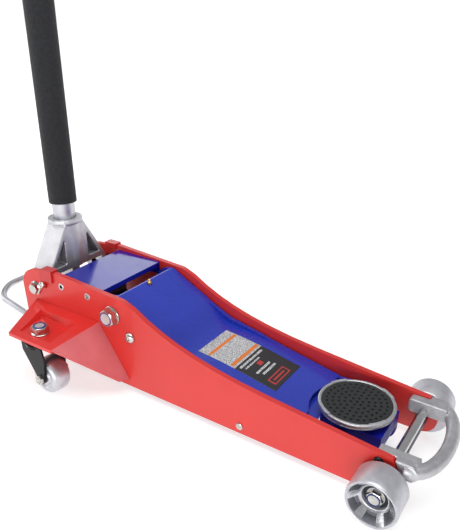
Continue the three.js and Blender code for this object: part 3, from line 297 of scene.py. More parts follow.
def roundEdges(bm, width, segments=2, angle=35):
    edges = [e for e in bm.edges
             if len(e.link_faces) == 2 and e.calc_face_angle(0) > math.radians(angle)]
    bmesh.ops.bevel(bm, geom=edges, offset=width * mm, offset_type="OFFSET", affect="EDGES",
                    segments=segments, profile=0.5, material=-1, clamp_overlap=True)
    return bm


turnTo = {"y": Matrix.Rotation(-math.pi / 2, 4, "X"), "-y": Matrix.Rotation(math.pi / 2, 4, "X"),
          "z": Matrix.Identity(4)}


def settle(bm, axis, at):
    bmesh.ops.transform(bm, matrix=Matrix.Translation(Vector(at)) @ turnTo[axis], verts=bm.verts)
    return bm


# A round piece: the profile is a list of (radius, height) in millimetres, spun about its axis.
def spun(profile, steps=48, sweep=360.0, start=0.0, roundTo=0.0):
    bm = bmesh.new()
    first = Matrix.Rotation(math.radians(start), 3, "Z")
    verts = [bm.verts.new(first @ Vector((r * mm, 0, h * mm))) for r, h in profile]
    edges = [bm.edges.new(pair) for pair in zip(verts, verts[1:])]
    closed = sweep >= 360
    bmesh.ops.spin(bm, geom=verts + edges, cent=(0, 0, 0), axis=(0, 0, 1), angle=math.radians(sweep),
                   steps=steps, use_merge=closed)
    bmesh.ops.remove_doubles(bm, verts=bm.verts, dist=0.004 * mm)
    if not closed:
        bmesh.ops.holes_fill(bm, edges=[e for e in bm.edges if e.is_boundary], sides=0)
    bmesh.ops.recalc_face_normals(bm, faces=bm.faces)
    if roundTo:
        roundEdges(bm, roundTo)
    return bm


# A hexagon nut or bolt head with a chamfered crown, from low to high along its axis.
def hexBody(flats, low, high, bore=0.0, chamfer=0.94):
    bm = bmesh.new()
    count = 36
    apothem = flats / 2

    def ring(kind, height):
        points = []
        for i in range(count):
            turn = 2 * math.pi * i / count
            corner = apothem / math.cos((turn + math.pi / 6) % (math.pi / 3) - math.pi / 6)
            radius = {"hex": corner, "round": apothem * chamfer, "bore": bore}[kind]
            drop = (corner - apothem * chamfer) * 0.5 if kind == "hex" and height == high else 0
            points.append((turn, radius, height - drop))
        return points

    rings = [ring("round", low), ring("hex", low), ring("hex", high), ring("round", high)]
    if bore:
        rings += [ring("bore", high), ring("bore", low)]
    made = bmesh.ops.create_circle(bm, cap_ends=False, segments=count, radius=apothem * mm)["verts"]
    loop = list(bm.edges)
    order = sorted(made, key=lambda v: math.atan2(v.co.y, v.co.x) % (2 * math.pi))
    for vert, (turn, radius, height) in zip(order, rings[0]):
        vert.co = (radius * mm * math.cos(turn), radius * mm * math.sin(turn), height * mm)
    for points in rings[1:]:
        grown = bmesh.ops.extrude_edge_only(bm, edges=loop)["geom"]
        loop = [g for g in grown if isinstance(g, bmesh.types.BMEdge) and g.is_boundary]
        ringVerts = sorted({v for e in loop for v in e.verts},
                           key=lambda v: math.atan2(v.co.y, v.co.x) % (2 * math.pi))
        for vert, (turn, radius, height) in zip(ringVerts, points):
            vert.co = (radius * mm * math.cos(turn), radius * mm * math.sin(turn), height * mm)
    bmesh.ops.remove_doubles(bm, verts=bm.verts, dist=0.004 * mm)
    edges = [e for e in bm.edges if e.is_boundary]
    if bore:
        bmesh.ops.bridge_loops(bm, edges=edges)
    else:
        bmesh.ops.holes_fill(bm, edges=edges, sides=0)
    bmesh.ops.recalc_face_normals(bm, faces=bm.faces)
    return bm


def centreOf(node):
    low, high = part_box(node)
    return (low + high) / 2


sides = (("left", 1), ("right", -1))
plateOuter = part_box("side_plate_left")[1].y / mm
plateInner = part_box("side_plate_left")[0].y / mm


# plates, wings, arm, cover and the other plain metal pieces keep the frame's shape with rounded edges

dressed = {
    "side_plate_left": (coralRed, 1.1, 3), "side_plate_right": (coralRed, 1.1, 3),
    "yoke_clip_left": (clipRed, 0.9, 2), "yoke_clip_right": (clipRed, 0.9, 2),
    "rear_cover": (deepBlue, 0.8, 3), "lift_arm": (royalBlue, 0.9, 2),
    "saddle_bracket": (bracketBlue, 1.4, 3),
    "power_unit": (unitPaint, 1.2, 2), "ram": (brightChrome, 0.6, 2), "pump_plunger": (brightChrome, 0.5, 2),
    "release_spindle": (zincPlate, 0.4, 2), "level_link_left": (oxideSteel, 0.8, 2),
    "level_link_right": (oxideSteel, 0.8, 2), "level_link_pin": (zincPlate, 0.6, 2),
    "crank_pin": (zincPlate, 0.6, 2), "saddle_pin": (zincPlate, 0.6, 2), "front_axle": (oxideSteel, 0.5, 2),
    "low_tie_bar": (zincPlate, 0.4, 2), "arm_shaft": (studSteel, 0.8, 2),
    "caster_fork_left": (glossBlack, 0.9, 3), "caster_fork_right": (glossBlack, 0.9, 3),
    "caster_axle_left": (zincPlate, 0.5, 2), "caster_axle_right": (zincPlate, 0.5, 2),
}
for node, (material, width, segments) in dressed.items():
    addPiece(f"{node}_dressed", roundEdges(frameCopy(node), width, segments), material, node, weighted=True)


def repaint(name, test, material):
    mesh = bpy.data.objects[name].data
    mesh.materials.append(material)
    for face in mesh.polygons:
        if test(face.center):
            face.material_index = len(mesh.materials) - 1


for word in ("left", "right"):    # the kingpin's threaded end
    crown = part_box(f"caster_race_{word}")[0].z
    repaint(f"caster_fork_{word}_dressed", lambda spot: spot.z > crown, studSteel)
repaint("front_axle_dressed", lambda spot: abs(spot.y) > plateInner * mm, zincPlate)

for word in ("left", "right"):
    bm = roundEdges(frameCopy(f"caster_wing_{word}"), 1.0, 3)
    for face in bm.faces:    # the leaning gusset takes a lighter pink-red: a painted reflection
        normal = face.normal
        if normal.x > 0.6 and normal.z > 0.35 and face.calc_area() > 4e-4:
            face.material_index = 1
    addPiece(f"caster_wing_{word}_dressed", bm, [wingRed, gussetPaintedSheen], f"caster_wing_{word}", weighted=True)
print("plates, wings, arm and cover done")


# castings: the frame's shape remeshed and rubbed smooth, as a tumbled casting is

casting = {"voxel": 1.1, "rub": 0.5, "passes": 5}


def cast(node, material):
    bm = frameCopy(node, flat=False)
    piece = addPiece(f"{node}_casting", bm, material, node, angle=60)
    remesh = piece.modifiers.new("Remesh", "REMESH")
    remesh.mode = "VOXEL"
    remesh.voxel_size = casting["voxel"] * mm
    remesh.use_smooth_shade = True
    soften = piece.modifiers.new("Smooth", "SMOOTH")
    soften.factor = casting["rub"]
    soften.iterations = casting["passes"]
    dg = bpy.context.evaluated_depsgraph_get()
    mesh = bpy.data.meshes.new_from_object(piece.evaluated_get(dg))
    piece.modifiers.clear()
    piece.data = mesh
    mesh.shade_smooth()
    mesh.materials.clear()
    mesh.materials.append(material)
    return piece


yoke = cast("handle_yoke", castBright)
yoke.data.materials.append(castShade)
yoke.data.materials.append(castPaintedHighlight)
pivotZ = jointAt["yoke_swing"]["pos_m"][2]
yokeX = jointAt["yoke_swing"]["pos_m"][0]
recess = {"half": 19.5, "low": 28.5, "high": 101, "reach": 58, "barrel": 27, "legFrom": 24}
for face in yoke.data.polygons:    # painted shade in the recesses, painted highlight on the legs' outward, upward slopes
    spot = face.center
    across = face.normal.y
    onLeg = abs(spot.y) > recess["legFrom"] * mm
    if onLeg and across * math.copysign(1, spot.y) > 0.55 and face.normal.z > 0.25:
        face.material_index = 2
    inHeight = recess["low"] * mm < spot.z - pivotZ < recess["high"] * mm
    inRecess = inHeight and abs(spot.x - yokeX) < recess["half"] * mm and abs(spot.y) < recess["reach"] * mm
    onBarrel = math.hypot(spot.x - yokeX, spot.y) < recess["barrel"] * mm
    facesOut = abs(across) > 0.5 and spot.y * across > 0
    if inRecess and not onBarrel and across != 0 and not facesOut:
        face.material_index = 1
cast("front_handle", castSilver)
print("castings done")


# handle: tubes, foam sleeve and grip, about the leaning axis of the yoke

twist = jointAt["handle_twist"]
handleAxis = Vector(twist["axis"]).normalized()
handleFoot = Vector(twist["pos_m"])
handleTurn = Matrix.Translation(handleFoot) @ handleAxis.to_track_quat("Z", "Y").to_matrix().to_4x4()


def onHandle(bm):
    bmesh.ops.transform(bm, matrix=handleTurn, verts=bm.verts)
    return bm


lower = {"radius": 20.0, "bore": 17.0, "neck": 16.8, "bottom": 23.3, "taper": 555.7, "stop": 559.7,
         "top": 640.0}
addPiece("lower_tube_chromed", onHandle(spun([
    (lower["bore"], lower["bottom"]), (lower["radius"], lower["bottom"]), (lower["radius"], lower["top"]),
    (lower["neck"], lower["top"]), (lower["neck"], lower["stop"]), (lower["bore"], lower["taper"]),
    (lower["bore"], lower["bottom"])], 64, roundTo=0.4)), satinChrome, "handle_lower_tube")
upper = {"radius": 16.5, "bore": 14.0, "bottom": 560.0, "top": 1150.0}
addPiece("upper_tube_chromed", onHandle(spun([
    (upper["bore"], upper["bottom"]), (upper["radius"], upper["bottom"]), (upper["radius"], upper["top"]),
    (upper["bore"], upper["top"]), (upper["bore"], upper["bottom"])], 64, roundTo=0.3)), brightChrome,
    "handle_upper_tube")

foam = {"radius": 24.8, "inner": 20.3, "bottom": 140, "top": 600, "rings": 90, "unevenness": 0.14}
foamBody = bmesh.new()
bmesh.ops.create_circle(foamBody, cap_ends=False, segments=64, radius=foam["radius"] * mm)
bmesh.ops.translate(foamBody, verts=foamBody.verts, vec=(0, 0, foam["bottom"] * mm))
loop = list(foamBody.edges)
for i in range(foam["rings"]):
    grown = bmesh.ops.extrude_edge_only(foamBody, edges=loop)["geom"]
    loop = [g for g in grown if isinstance(g, bmesh.types.BMEdge) and g.is_boundary]
    step = (foam["top"] - foam["bottom"]) / foam["rings"] * mm
    bmesh.ops.translate(foamBody, verts=list({v for e in loop for v in e.verts}), vec=(0, 0, step))
random.seed(4)
for vert in foamBody.verts:
    vert.co.xy *= 1 + random.uniform(-1, 0.4) * foam["unevenness"] / foam["radius"]
bmesh.ops.smooth_vert(foamBody, verts=foamBody.verts, factor=0.5, use_axis_x=True, use_axis_y=True)
for end in (min, max):
    level = end(v.co.z for v in foamBody.verts)
    rim = [e for e in foamBody.edges if e.is_boundary and abs(e.verts[0].co.z - level) < 1e-6]
    inward = 1 if end is min else -1
    for radius, drop in ((0.985, -0.6), (0.94, -0.9), (foam["inner"] / foam["radius"], -0.9)):
        grown = bmesh.ops.extrude_edge_only(foamBody, edges=rim)["geom"]
        rim = [g for g in grown if isinstance(g, bmesh.types.BMEdge) and g.is_boundary]
        for vert in {v for e in rim for v in e.verts}:
            planar = vert.co.xy.normalized() * foam["radius"] * radius * mm
            vert.co = (planar.x, planar.y, level + inward * (drop + 0.9) * mm)
bmesh.ops.bridge_loops(foamBody, edges=[e for e in foamBody.edges if e.is_boundary])
bmesh.ops.recalc_face_normals(foamBody, faces=foamBody.faces)
foamPiece = addPiece("foam_sleeve_soft", onHandle(foamBody), closedFoam, "foam_sleeve", angle=50)

grip = {"radius": 19.3, "bottom": 1000, "top": 1155.5, "ribs": 16, "ribPitch": 8.0}
ribbed = [(16.8, grip["bottom"]), (18.2, grip["bottom"])]
for i in range(grip["ribs"]):
    low = grip["bottom"] + 8 + i * grip["ribPitch"]
    ribbed += [(18.2, low), (grip["radius"], low + 1.2), (grip["radius"], low + 4.6), (18.2, low + 5.8)]
ribbed += [(18.2, 1146), (grip["radius"], 1148), (grip["radius"], 1153), (17, grip["top"]), (0, grip["top"]),
           (0, 1150.3), (16.8, 1150.3), (16.8, grip["bottom"])]
addPiece("handle_grip_ribbed", onHandle(spun(ribbed, 56, roundTo=0.3)), mouldedRubber, "handle_grip")
print("handle done")


# saddle: a cast cup with raised lugs and a dimpled rubber pad

cupCentre = centreOf("saddle_cup")
cupLow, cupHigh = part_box("saddle_cup")
saddle = {"radius": 57.3, "rim": 5.3, "lugHalf": 13.5, "lugRise": 1.2, "depth": 7.0}
rimTop = cupHigh.z / mm - 1.3 - cupLow.z / mm
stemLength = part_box("saddle_bracket")[1].z / mm - cupLow.z / mm
baseLow = cupHigh.z / mm - 16 - cupLow.z / mm
outer = saddle["radius"]
cup = spun([(0, 0), (10, 0), (10, stemLength + 0.3), (35, stemLength + 0.3), (35.5, baseLow),
            (outer - 5, baseLow + 3.6), (outer - 1.4, baseLow + 6.2), (outer, baseLow + 9.5),
            (outer, rimTop - 2), (outer - 0.7, rimTop - 0.5), (outer - 2, rimTop), (outer - 4.4, rimTop),
            (outer - saddle["rim"], rimTop - 0.8), (outer - saddle["rim"], rimTop - saddle["depth"]),
            (0, rimTop - saddle["depth"])], 96, roundTo=0.25)
lugs = []
for i in range(4):
    middle = 45 + 8.6 + i * 90
    lug = spun([(outer - saddle["rim"] + 0.2, rimTop - 1.6), (outer - saddle["rim"] + 0.3, rimTop + 0.7),
                (outer - saddle["rim"] + 1, rimTop + saddle["lugRise"]),
                (outer - 1.2, rimTop + saddle["lugRise"]), (outer - 0.3, rimTop + 0.5),
                (outer - 0.1, rimTop - 1.6),
                (outer - saddle["rim"] + 0.2, rimTop - 1.6)],
               14, sweep=2 * saddle["lugHalf"], start=middle - saddle["lugHalf"])
    lugs.append(paint(lug, 1))
saddleAt = (cupCentre.x, cupCentre.y, cupLow.z)
addPiece("saddle_cup_cast", settle(joined([cup] + lugs), "z", saddleAt), [ringSilver, castBright],
         "saddle_cup")

pad = {"radius": 51.6, "rings": 6, "spacing": 8.7, "dimple": 2.9, "sink": 1.9, "edge": 1.2}


def dimpleOutline(bm, x, y, heading, size, height):
    shape = ((1.1, 0), (0.55, 0.42), (-0.5, 0.95), (-0.85, 0.5), (-0.85, -0.5), (-0.5, -0.95), (0.55, -0.42))
    turn = Matrix.Rotation(heading, 2)
    verts = []
    for a, b in shape:
        spot = turn @ Vector((a * size, b * size)) + Vector((x, y))
        verts.append(bm.verts.new((spot.x * mm, spot.y * mm, height * mm)))
    return [bm.edges.new((verts[i], verts[(i + 1) % len(verts)])) for i in range(len(verts))]


def rubberPad():
    padLow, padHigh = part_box("saddle_pad")
    height = (padHigh.z - padLow.z) / mm
    bm = bmesh.new()
    bmesh.ops.create_circle(bm, cap_ends=False, segments=96, radius=(pad["radius"] - pad["edge"]) * mm)
    bmesh.ops.translate(bm, verts=bm.verts, vec=(0, 0, height * mm))
    border = list(bm.edges)
    pits = []
    for ring in range(pad["rings"]):
        count = max(1, 6 * ring)
        for i in range(count):
            turn = 2 * math.pi * (i + 0.5 * (ring % 2)) / count
            radius = ring * pad["spacing"]
            pits.append(dimpleOutline(bm, radius * math.cos(turn), radius * math.sin(turn), turn + 2.2,
                                      pad["dimple"], height))
    bmesh.ops.triangle_fill(bm, use_beauty=True, use_dissolve=False, edges=bm.edges)
    for pit in pits:
        grown = bmesh.ops.extrude_edge_only(bm, edges=pit)["geom"]
        inner = [g for g in grown if isinstance(g, bmesh.types.BMEdge) and g.is_boundary]
        verts = list({v for e in inner for v in e.verts})
        middle = sum((v.co for v in verts), Vector()) / len(verts)
        for vert in verts:
            vert.co = middle + (vert.co - middle) * 0.62 - Vector((0, 0, pad["sink"] * mm))
        floorFaces = bmesh.ops.contextual_create(bm, geom=inner)["faces"]
        # the dimple floors take the near-black rubber: painted shade in the pits
        for face in floorFaces:
            face.material_index = 1
    for radius, z in ((pad["radius"] - 0.35, height - 0.35), (pad["radius"], height - pad["edge"]),
                      (pad["radius"], 0.0)):
        grown = bmesh.ops.extrude_edge_only(bm, edges=border)["geom"]
        border = [g for g in grown if isinstance(g, bmesh.types.BMEdge) and g.is_boundary]
        for vert in {v for e in border for v in e.verts}:
            planar = vert.co.xy.normalized() * radius * mm
            vert.co = (planar.x, planar.y, z * mm)
    bmesh.ops.holes_fill(bm, edges=border, sides=0)
    bmesh.ops.recalc_face_normals(bm, faces=bm.faces)
    return settle(bm, "z", (cupCentre.x, cupCentre.y, padLow.z))


addPiece("saddle_pad_dimpled", rubberPad(), [mouldedRubber, dimplePaintedShade], "saddle_pad")
print("saddle done")


# front wheels: turned aluminium with a dished face, six pockets and a bearing

wheel = {"radius": 36.0, "width": 47.2, "dishDepth": 19.5, "pockets": 6, "pocketDepth": 15.0,
         "pocketTurn": 30.0, "steps": 72}


def frontWheel():
    half = wheel["width"] / 2
    edge = wheel["radius"]
    back = -half
    hub = half - wheel["dishDepth"] - 2.5
    rows = [(edge - 4.2, half - 1.6), (edge - 7.2, half - 5), (edge - 11.4, half - 10),
            (edge - 15.2, half - 15), (edge - 17.2, half - 16.8), (edge - 18.2, half - 16.8)]
    profile = [(8, back), (edge - 4, back), (edge - 1.2, back + 0.8), (edge, back + 3), (edge, half - 6),
               (edge - 0.5, half - 2.8), (edge - 1.6, half - 0.9), (edge - 2.6, half)] + rows + [
                   (edge - 18.8, hub + 0.8), (12.6, hub + 0.8), (12.2, hub + 1.8), (8, hub + 1.8), (8, back)]
    bm = spun(profile, wheel["steps"])
    pocketFaces = []
    for i in range(wheel["pockets"]):
        middle = math.radians(wheel["pocketTurn"] + i * 60)
        faces = []
        for face in bm.faces:
            spot = face.calc_center_median() / mm
            turn = (math.atan2(spot.y, spot.x) - middle + math.pi) % (2 * math.pi) - math.pi
            inDish = edge - 15 < math.hypot(spot.x, spot.y) < edge - 5.5 and spot.z > hub + 1.5
            if inDish and abs(turn) < math.radians(22):
                faces.append(face)
        bmesh.ops.inset_region(bm, faces=faces, thickness=0.9 * mm, depth=0, use_even_offset=True)
        grown = bmesh.ops.extrude_face_region(bm, geom=faces)
        verts = [g for g in grown["geom"] if isinstance(g, bmesh.types.BMVert)]
        bmesh.ops.delete(bm, geom=faces, context="FACES_KEEP_BOUNDARY")
        bmesh.ops.translate(bm, verts=verts, vec=(0, 0, -wheel["pocketDepth"] * mm))
        middleSpot = sum((v.co for v in verts), Vector()) / len(verts)
        for vert in verts:
            vert.co = middleSpot + (vert.co - middleSpot) * 0.86
        pocketFaces += [g for g in grown["geom"] if isinstance(g, bmesh.types.BMFace)]
    for face in bm.faces:
        spot = face.calc_center_median() / mm
        away = math.hypot(spot.x, spot.y)
        if away < edge - 4.6 and spot.z > hub - 14 and spot.z < half - 0.4:
            face.material_index = 1
        if face.normal.z < 0.5 and 16 < away < edge - 5 and back + 1 < spot.z < half - 7:
            face.material_index = 2
    for face in pocketFaces:
        face.material_index = 2
    for face in bm.faces:    # the bearing's dark seal
        spot = face.calc_center_median() / mm
        if 12.4 < math.hypot(spot.x, spot.y) < edge - 18.5 and hub < spot.z < hub + 1.5:
            face.material_index = 3
    bmesh.ops.recalc_face_normals(bm, faces=bm.faces)
    roundEdges(bm, 0.35, 2, 40)
    return bm


for word, side in sides:
    node = f"front_wheel_{word}"
    at = centreOf(node)
    turned = turnedMetal(f"turnedTread_{word}", (0.62, 0.62, 0.66), (0.50, 0.50, 0.54), 0.46, "Y",
                         tuple(at), metallic=0.75)
    bright = turnedMetal(f"turnedDish_{word}", (0.66, 0.66, 0.69), (0.52, 0.52, 0.55), 0.26, "Y", tuple(at))
    pocket = castMetal(f"pocketMetal_{word}", (0.42, 0.43, 0.46), (0.30, 0.31, 0.34), 0.5, metallic=0.6)
    addPiece(f"{node}_turned", settle(frontWheel(), "y" if side > 0 else "-y", at),
             [turned, bright, pocket, mouldedRubber], node, angle=30)
print("front wheels done")


# casters: wide turned wheels, races, kingpin nuts

casterWheel = {"radius": 31.0, "width": 35.0, "ring": 20.0, "groove": 14.5}


def swivelWheel():
    half = casterWheel["width"] / 2
    edge = casterWheel["radius"]
    ring = casterWheel["ring"]
    face = [(5.4, half), (12.5, half), (13.2, half - 0.6), (casterWheel["groove"], half - 3),
            (ring - 1.5, half - 3), (ring, half - 0.7), (ring + 1, half - 0.5), (edge - 6.5, half - 0.5),
            (edge - 4.2, half - 1.4), (edge - 2.2, half - 3.6), (edge - 0.8, half - 6.6), (edge, half - 11)]
    profile = [(r, -h) for r, h in face] + list(reversed(face)) + [(5.4, -half)]
    return spun(profile, 72, roundTo=0.2)


for word in ("left", "right"):
    node = f"caster_wheel_{word}"
    joint = jointAt[f"caster_wheel_spin_{word}"]
    axis = Vector(joint["axis"]).normalized()
    at = centreOf(node)
    bm = swivelWheel()
    bmesh.ops.transform(bm, matrix=Matrix.Translation(at) @ axis.to_track_quat("Z", "Y").to_matrix().to_4x4(),
                        verts=bm.verts)
    tread = turnedMetal(f"casterTread_{word}", (0.66, 0.66, 0.70), (0.52, 0.52, 0.56), 0.4, "Y", tuple(at),
                        metallic=0.8)
    addPiece(f"{node}_turned", bm, tread, node, angle=34)

    race = f"caster_race_{word}"
    low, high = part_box(race)
    height = (high.z - low.z) / mm
    outer = (high.x - low.x) / 2 / mm
    ringAt = ((low.x + high.x) / 2, (low.y + high.y) / 2, low.z)
    bm = spun([(8.4, 0), (outer - 2, 0), (outer - 0.6, 0.8), (outer - 0.6, height * 0.42),
               (outer - 2.2, height * 0.5), (outer, height * 0.6), (outer, height - 0.6),
               (outer - 0.8, height), (8.4, height), (8.4, 0)], 64, roundTo=0.2)
    addPiece(f"{race}_turned", settle(bm, "z", ringAt), zincPale, race)

    node = f"caster_nut_{word}"
    low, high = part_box(node)
    height = (high.z - low.z) / mm
    nutAt = ((low.x + high.x) / 2, (low.y + high.y) / 2, low.z)
    collar = spun([(8.6, height - 3), (10.6, height - 3), (10.6, height - 0.9), (9.8, height - 0.2),
                   (8.6, height - 0.2), (8.6, height - 3)], 48)
    washer = spun([(8.6, 0), (14.9, 0), (14.9, 1.6), (14.4, 2), (8.6, 2), (8.6, 0)], 48)
    nutBody = hexBody(25.6, 2, height - 1.5, bore=8.7, chamfer=0.95)
    bmesh.ops.rotate(nutBody, cent=(0, 0, 0), matrix=Matrix.Rotation(0.35, 3, "Z"), verts=nutBody.verts)
    addPiece(f"{node}_plated", settle(joined([nutBody, washer, paint(collar, 1)]), "z", nutAt),
             [zincPlate, nylonBlue], node, angle=24)
print("casters done")


# nuts, bolts and screws on the plates

def onPlate(name, node, parts, materials, height):
    for word, side in sides:
        full = f"{node}_{word}"
        at = centreOf(full)
        pieces = [part() for part in parts]
        place = (at.x, side * height * mm, at.z)
        addPiece(f"{full}_{name}", settle(joined(pieces), "y" if side > 0 else "-y", place), materials, full,
                 angle=26)


def turnedAbout(bm, angle):
    bmesh.ops.rotate(bm, cent=(0, 0, 0), matrix=Matrix.Rotation(angle, 3, "Z"), verts=bm.verts)
    return bm


onPlate("plated", "arm_shaft_nut", [
    lambda: turnedAbout(hexBody(27.4, 2.3, 15.8, bore=10.4, chamfer=0.95), 0.2),
    lambda: spun([(10.4, 0.3), (16.6, 0.3), (16.6, 2), (16.1, 2.4), (10.4, 2.4), (10.4, 0.3)], 48),
    lambda: paint(spun([(10.4, 13), (11.5, 13), (11.5, 16), (10.4, 16), (10.4, 13)], 48), 1)],
    [zincPlate, nylonBlue], plateOuter)
onPlate("plated", "axle_nut", [
    lambda: turnedAbout(hexBody(19.4, 2, 9, bore=7.9, chamfer=0.95), 0.35),
    lambda: spun([(7.9, 0), (11.8, 0), (11.8, 1.6), (11.3, 2), (7.9, 2), (7.9, 0)], 48),
    lambda: paint(spun([(7.9, 8.5), (9.0, 8.5), (9.0, 10.4), (8.4, 10.9), (7.9, 10.9), (7.9, 8.5)], 48), 1)],
    [zincPlate, nylonBlue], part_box("axle_nut_left")[0].y / mm)


onPlate("plated", "level_link_bolt", [
    lambda: spun([(6, -40), (6, 0.3), (9.4, 0.3), (9.4, 2.2), (8.6, 4.4), (6.8, 6.2), (4.6, 7.1), (3.1, 7.3),
                  (3.1, 5.2), (0, 5.2)], 48, roundTo=0.2)], zincPlate, plateOuter)
onPlate("painted", "handle_bolt", [
    lambda: spun([(4, -20), (4, 0.3), (6.9, 0.3), (6.9, 1.6), (5.6, 3.4), (3.2, 4.3), (2, 4.3), (2, 2.6),
                  (0, 2.6)], 40, roundTo=0.2)], glossBlack, plateOuter)
onPlate("plated", "clip_screw", [
    lambda: spun([(4, -6), (4, 4), (6.5, 4), (6.5, 5.4), (5.9, 7), (4.4, 8.1), (2.6, 8.5), (2.2, 8.5),
                  (2.2, 6.8), (0, 6.8)], 40, roundTo=0.2)], zincPlate, plateOuter)
for number in (1, 2):
    for word, side in sides:
        node = f"cover_screw_{number}_{word}"
        at = centreOf(node)
        head = spun([(3, -17), (3, -3.6), (6.3, -0.5), (6.4, 0.1), (6.0, 0.35), (3.2, 0.35)], 40)
        # the first pair's sockets are gloss black, a painted shade in the recess; the second pair's are plated
        # zinc
        socket = paint(spun([(3.2, 0.35), (2.9, 0.1), (2.9, -2.2), (0, -2.2)], 24), number)
        bm = joined([head, socket])
        bmesh.ops.remove_doubles(bm, verts=bm.verts, dist=0.004 * mm)
        place = (at.x, side * plateOuter * mm, at.z)
        addPiece(f"{node}_plated", settle(bm, "y" if side > 0 else "-y", place),
                 [zincPale, glossBlack, zincPlate], node)
onPlate("plated", "yoke_bolt", [
    lambda: spun([(7, -24), (7, 0.3), (12.9, 0.3), (12.9, 1.2), (11.6, 2.2), (9, 3.2), (8.6, 3.4)], 48),
    lambda: turnedAbout(hexBody(17.6, 1.5, 9, chamfer=0.93), 0.5)], zincPlate, plateOuter)

grease = centreOf("grease_fitting")
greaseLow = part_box("grease_fitting")[0].z
bm = spun([(3, 0), (3, 7.4), (4, 7.4), (4, 9.4), (2.1, 10.3), (1.9, 11.2), (2.7, 12.3), (2.6, 13.2),
           (1.3, 14.3), (0, 14.3)], 32, roundTo=0.12)
addPiece("grease_fitting_brass", settle(bm, "z", (grease.x, grease.y, greaseLow)), bareBrass, "grease_fitting")

rodAt = centreOf("front_tie_rod")
rodLow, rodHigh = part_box("front_tie_rod")
rodRadius = (rodHigh.x - rodLow.x) / 2 / mm
rodHalf = rodHigh.y / mm
addPiece("front_tie_rod_plated", settle(spun([
    (0, -rodHalf), (rodRadius - 0.6, -rodHalf), (rodRadius, -rodHalf + 0.6), (rodRadius, rodHalf - 0.6),
    (rodRadius - 0.6, rodHalf), (0, rodHalf)], 48), "y", (rodAt.x, 0, rodAt.z)), brightChrome, "front_tie_rod")
print("fixings done")


# rear carrying loop, a bent bar

loopBar = {"radius": 6.0, "bend": 30.0, "bow": 6.0, "resolution": 5}


def rearLoop():
    low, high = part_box("rear_loop")
    radius = loopBar["radius"] * mm
    bar = bpy.data.curves.new("rearLoopPath", "CURVE")
    bar.dimensions = "3D"
    bar.bevel_depth = radius
    bar.bevel_resolution = loopBar["resolution"]
    bar.use_fill_caps = True
    spline = bar.splines.new("BEZIER")
    side = high.y - radius
    rear = low.x + radius
    bend = loopBar["bend"] * mm
    bow = loopBar["bow"] * mm
    startZ = low.z + radius
    rise = (high.z - low.z - 2 * radius) / (high.x - rear)
    points = [(high.x, -side), (rear + bow + bend, -side), (rear + bow, -side + bend), (rear, 0),
              (rear + bow, side - bend), (rear + bow + bend, side), (high.x, side)]
    spline.bezier_points.add(len(points) - 1)
    for point, (x, y) in zip(spline.bezier_points, points):
        point.co = (x, y, startZ + (high.x - x) * rise)
        point.handle_left_type = point.handle_right_type = "AUTO"
    for index in (0, 1, 5, 6):
        spline.bezier_points[index].handle_left_type = "VECTOR" if index in (0, 1, 6) else "AUTO"
        spline.bezier_points[index].handle_right_type = "VECTOR" if index in (0, 5, 6) else "AUTO"
    holder = bpy.data.objects.new("rearLoopPath", bar)
    collection.objects.link(holder)
    dg = bpy.context.evaluated_depsgraph_get()
    mesh = bpy.data.meshes.new_from_object(holder.evaluated_get(dg))
    bpy.data.objects.remove(holder)
    bm = bmesh.new()
    bm.from_mesh(mesh)
    bpy.data.meshes.remove(mesh)
    bmesh.ops.remove_doubles(bm, verts=bm.verts, dist=0.01 * mm)
    bmesh.ops.recalc_face_normals(bm, faces=bm.faces)
    return bm


addPiece("rear_loop_bar", rearLoop(), zincPale, "rear_loop", angle=50)
print("rear loop done")


# label on the arm: two generic panels of bars and lines, with no lettering

label = {"rear": -337.0, "front": -193.0, "split": -267.0, "half": 41.0, "across": 3.0, "cell": 1.0,
         "thickness": 0.18}
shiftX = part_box("front_wheel_left")[0].x / mm + wheel["radius"]    # the front axle


def labelInk(x, y):
    along = x - label["rear"]
    if x < label["split"]:
        if 17 < along < 23 or 60 < along < 66.5:
            return 2 if abs(y) < 38.5 else 0
        return 0
    forward = x - label["split"]
    if 4 < forward < 8.5 and abs(y + 1) < 33:
        return 0
    if 12 < forward < 14.5 and -30 < y < 12:
        return 0
    if 18 < forward < 26 and -5 < y < 6:
        return 3
    if 30 < forward < 34 and -26 < y < 14:
        return 0
    if 38 < forward < 41.5 and -20 < y < 18:
        return 0
    frameIn = 52 < forward < 67 and -28 < y < 20
    hollow = 54.5 < forward < 64.5 and -25.5 < y < 17.5
    if frameIn and not hollow:
        return 3
    if 57.5 < forward < 61.5 and -20 < y < 12:
        return 3
    return 1


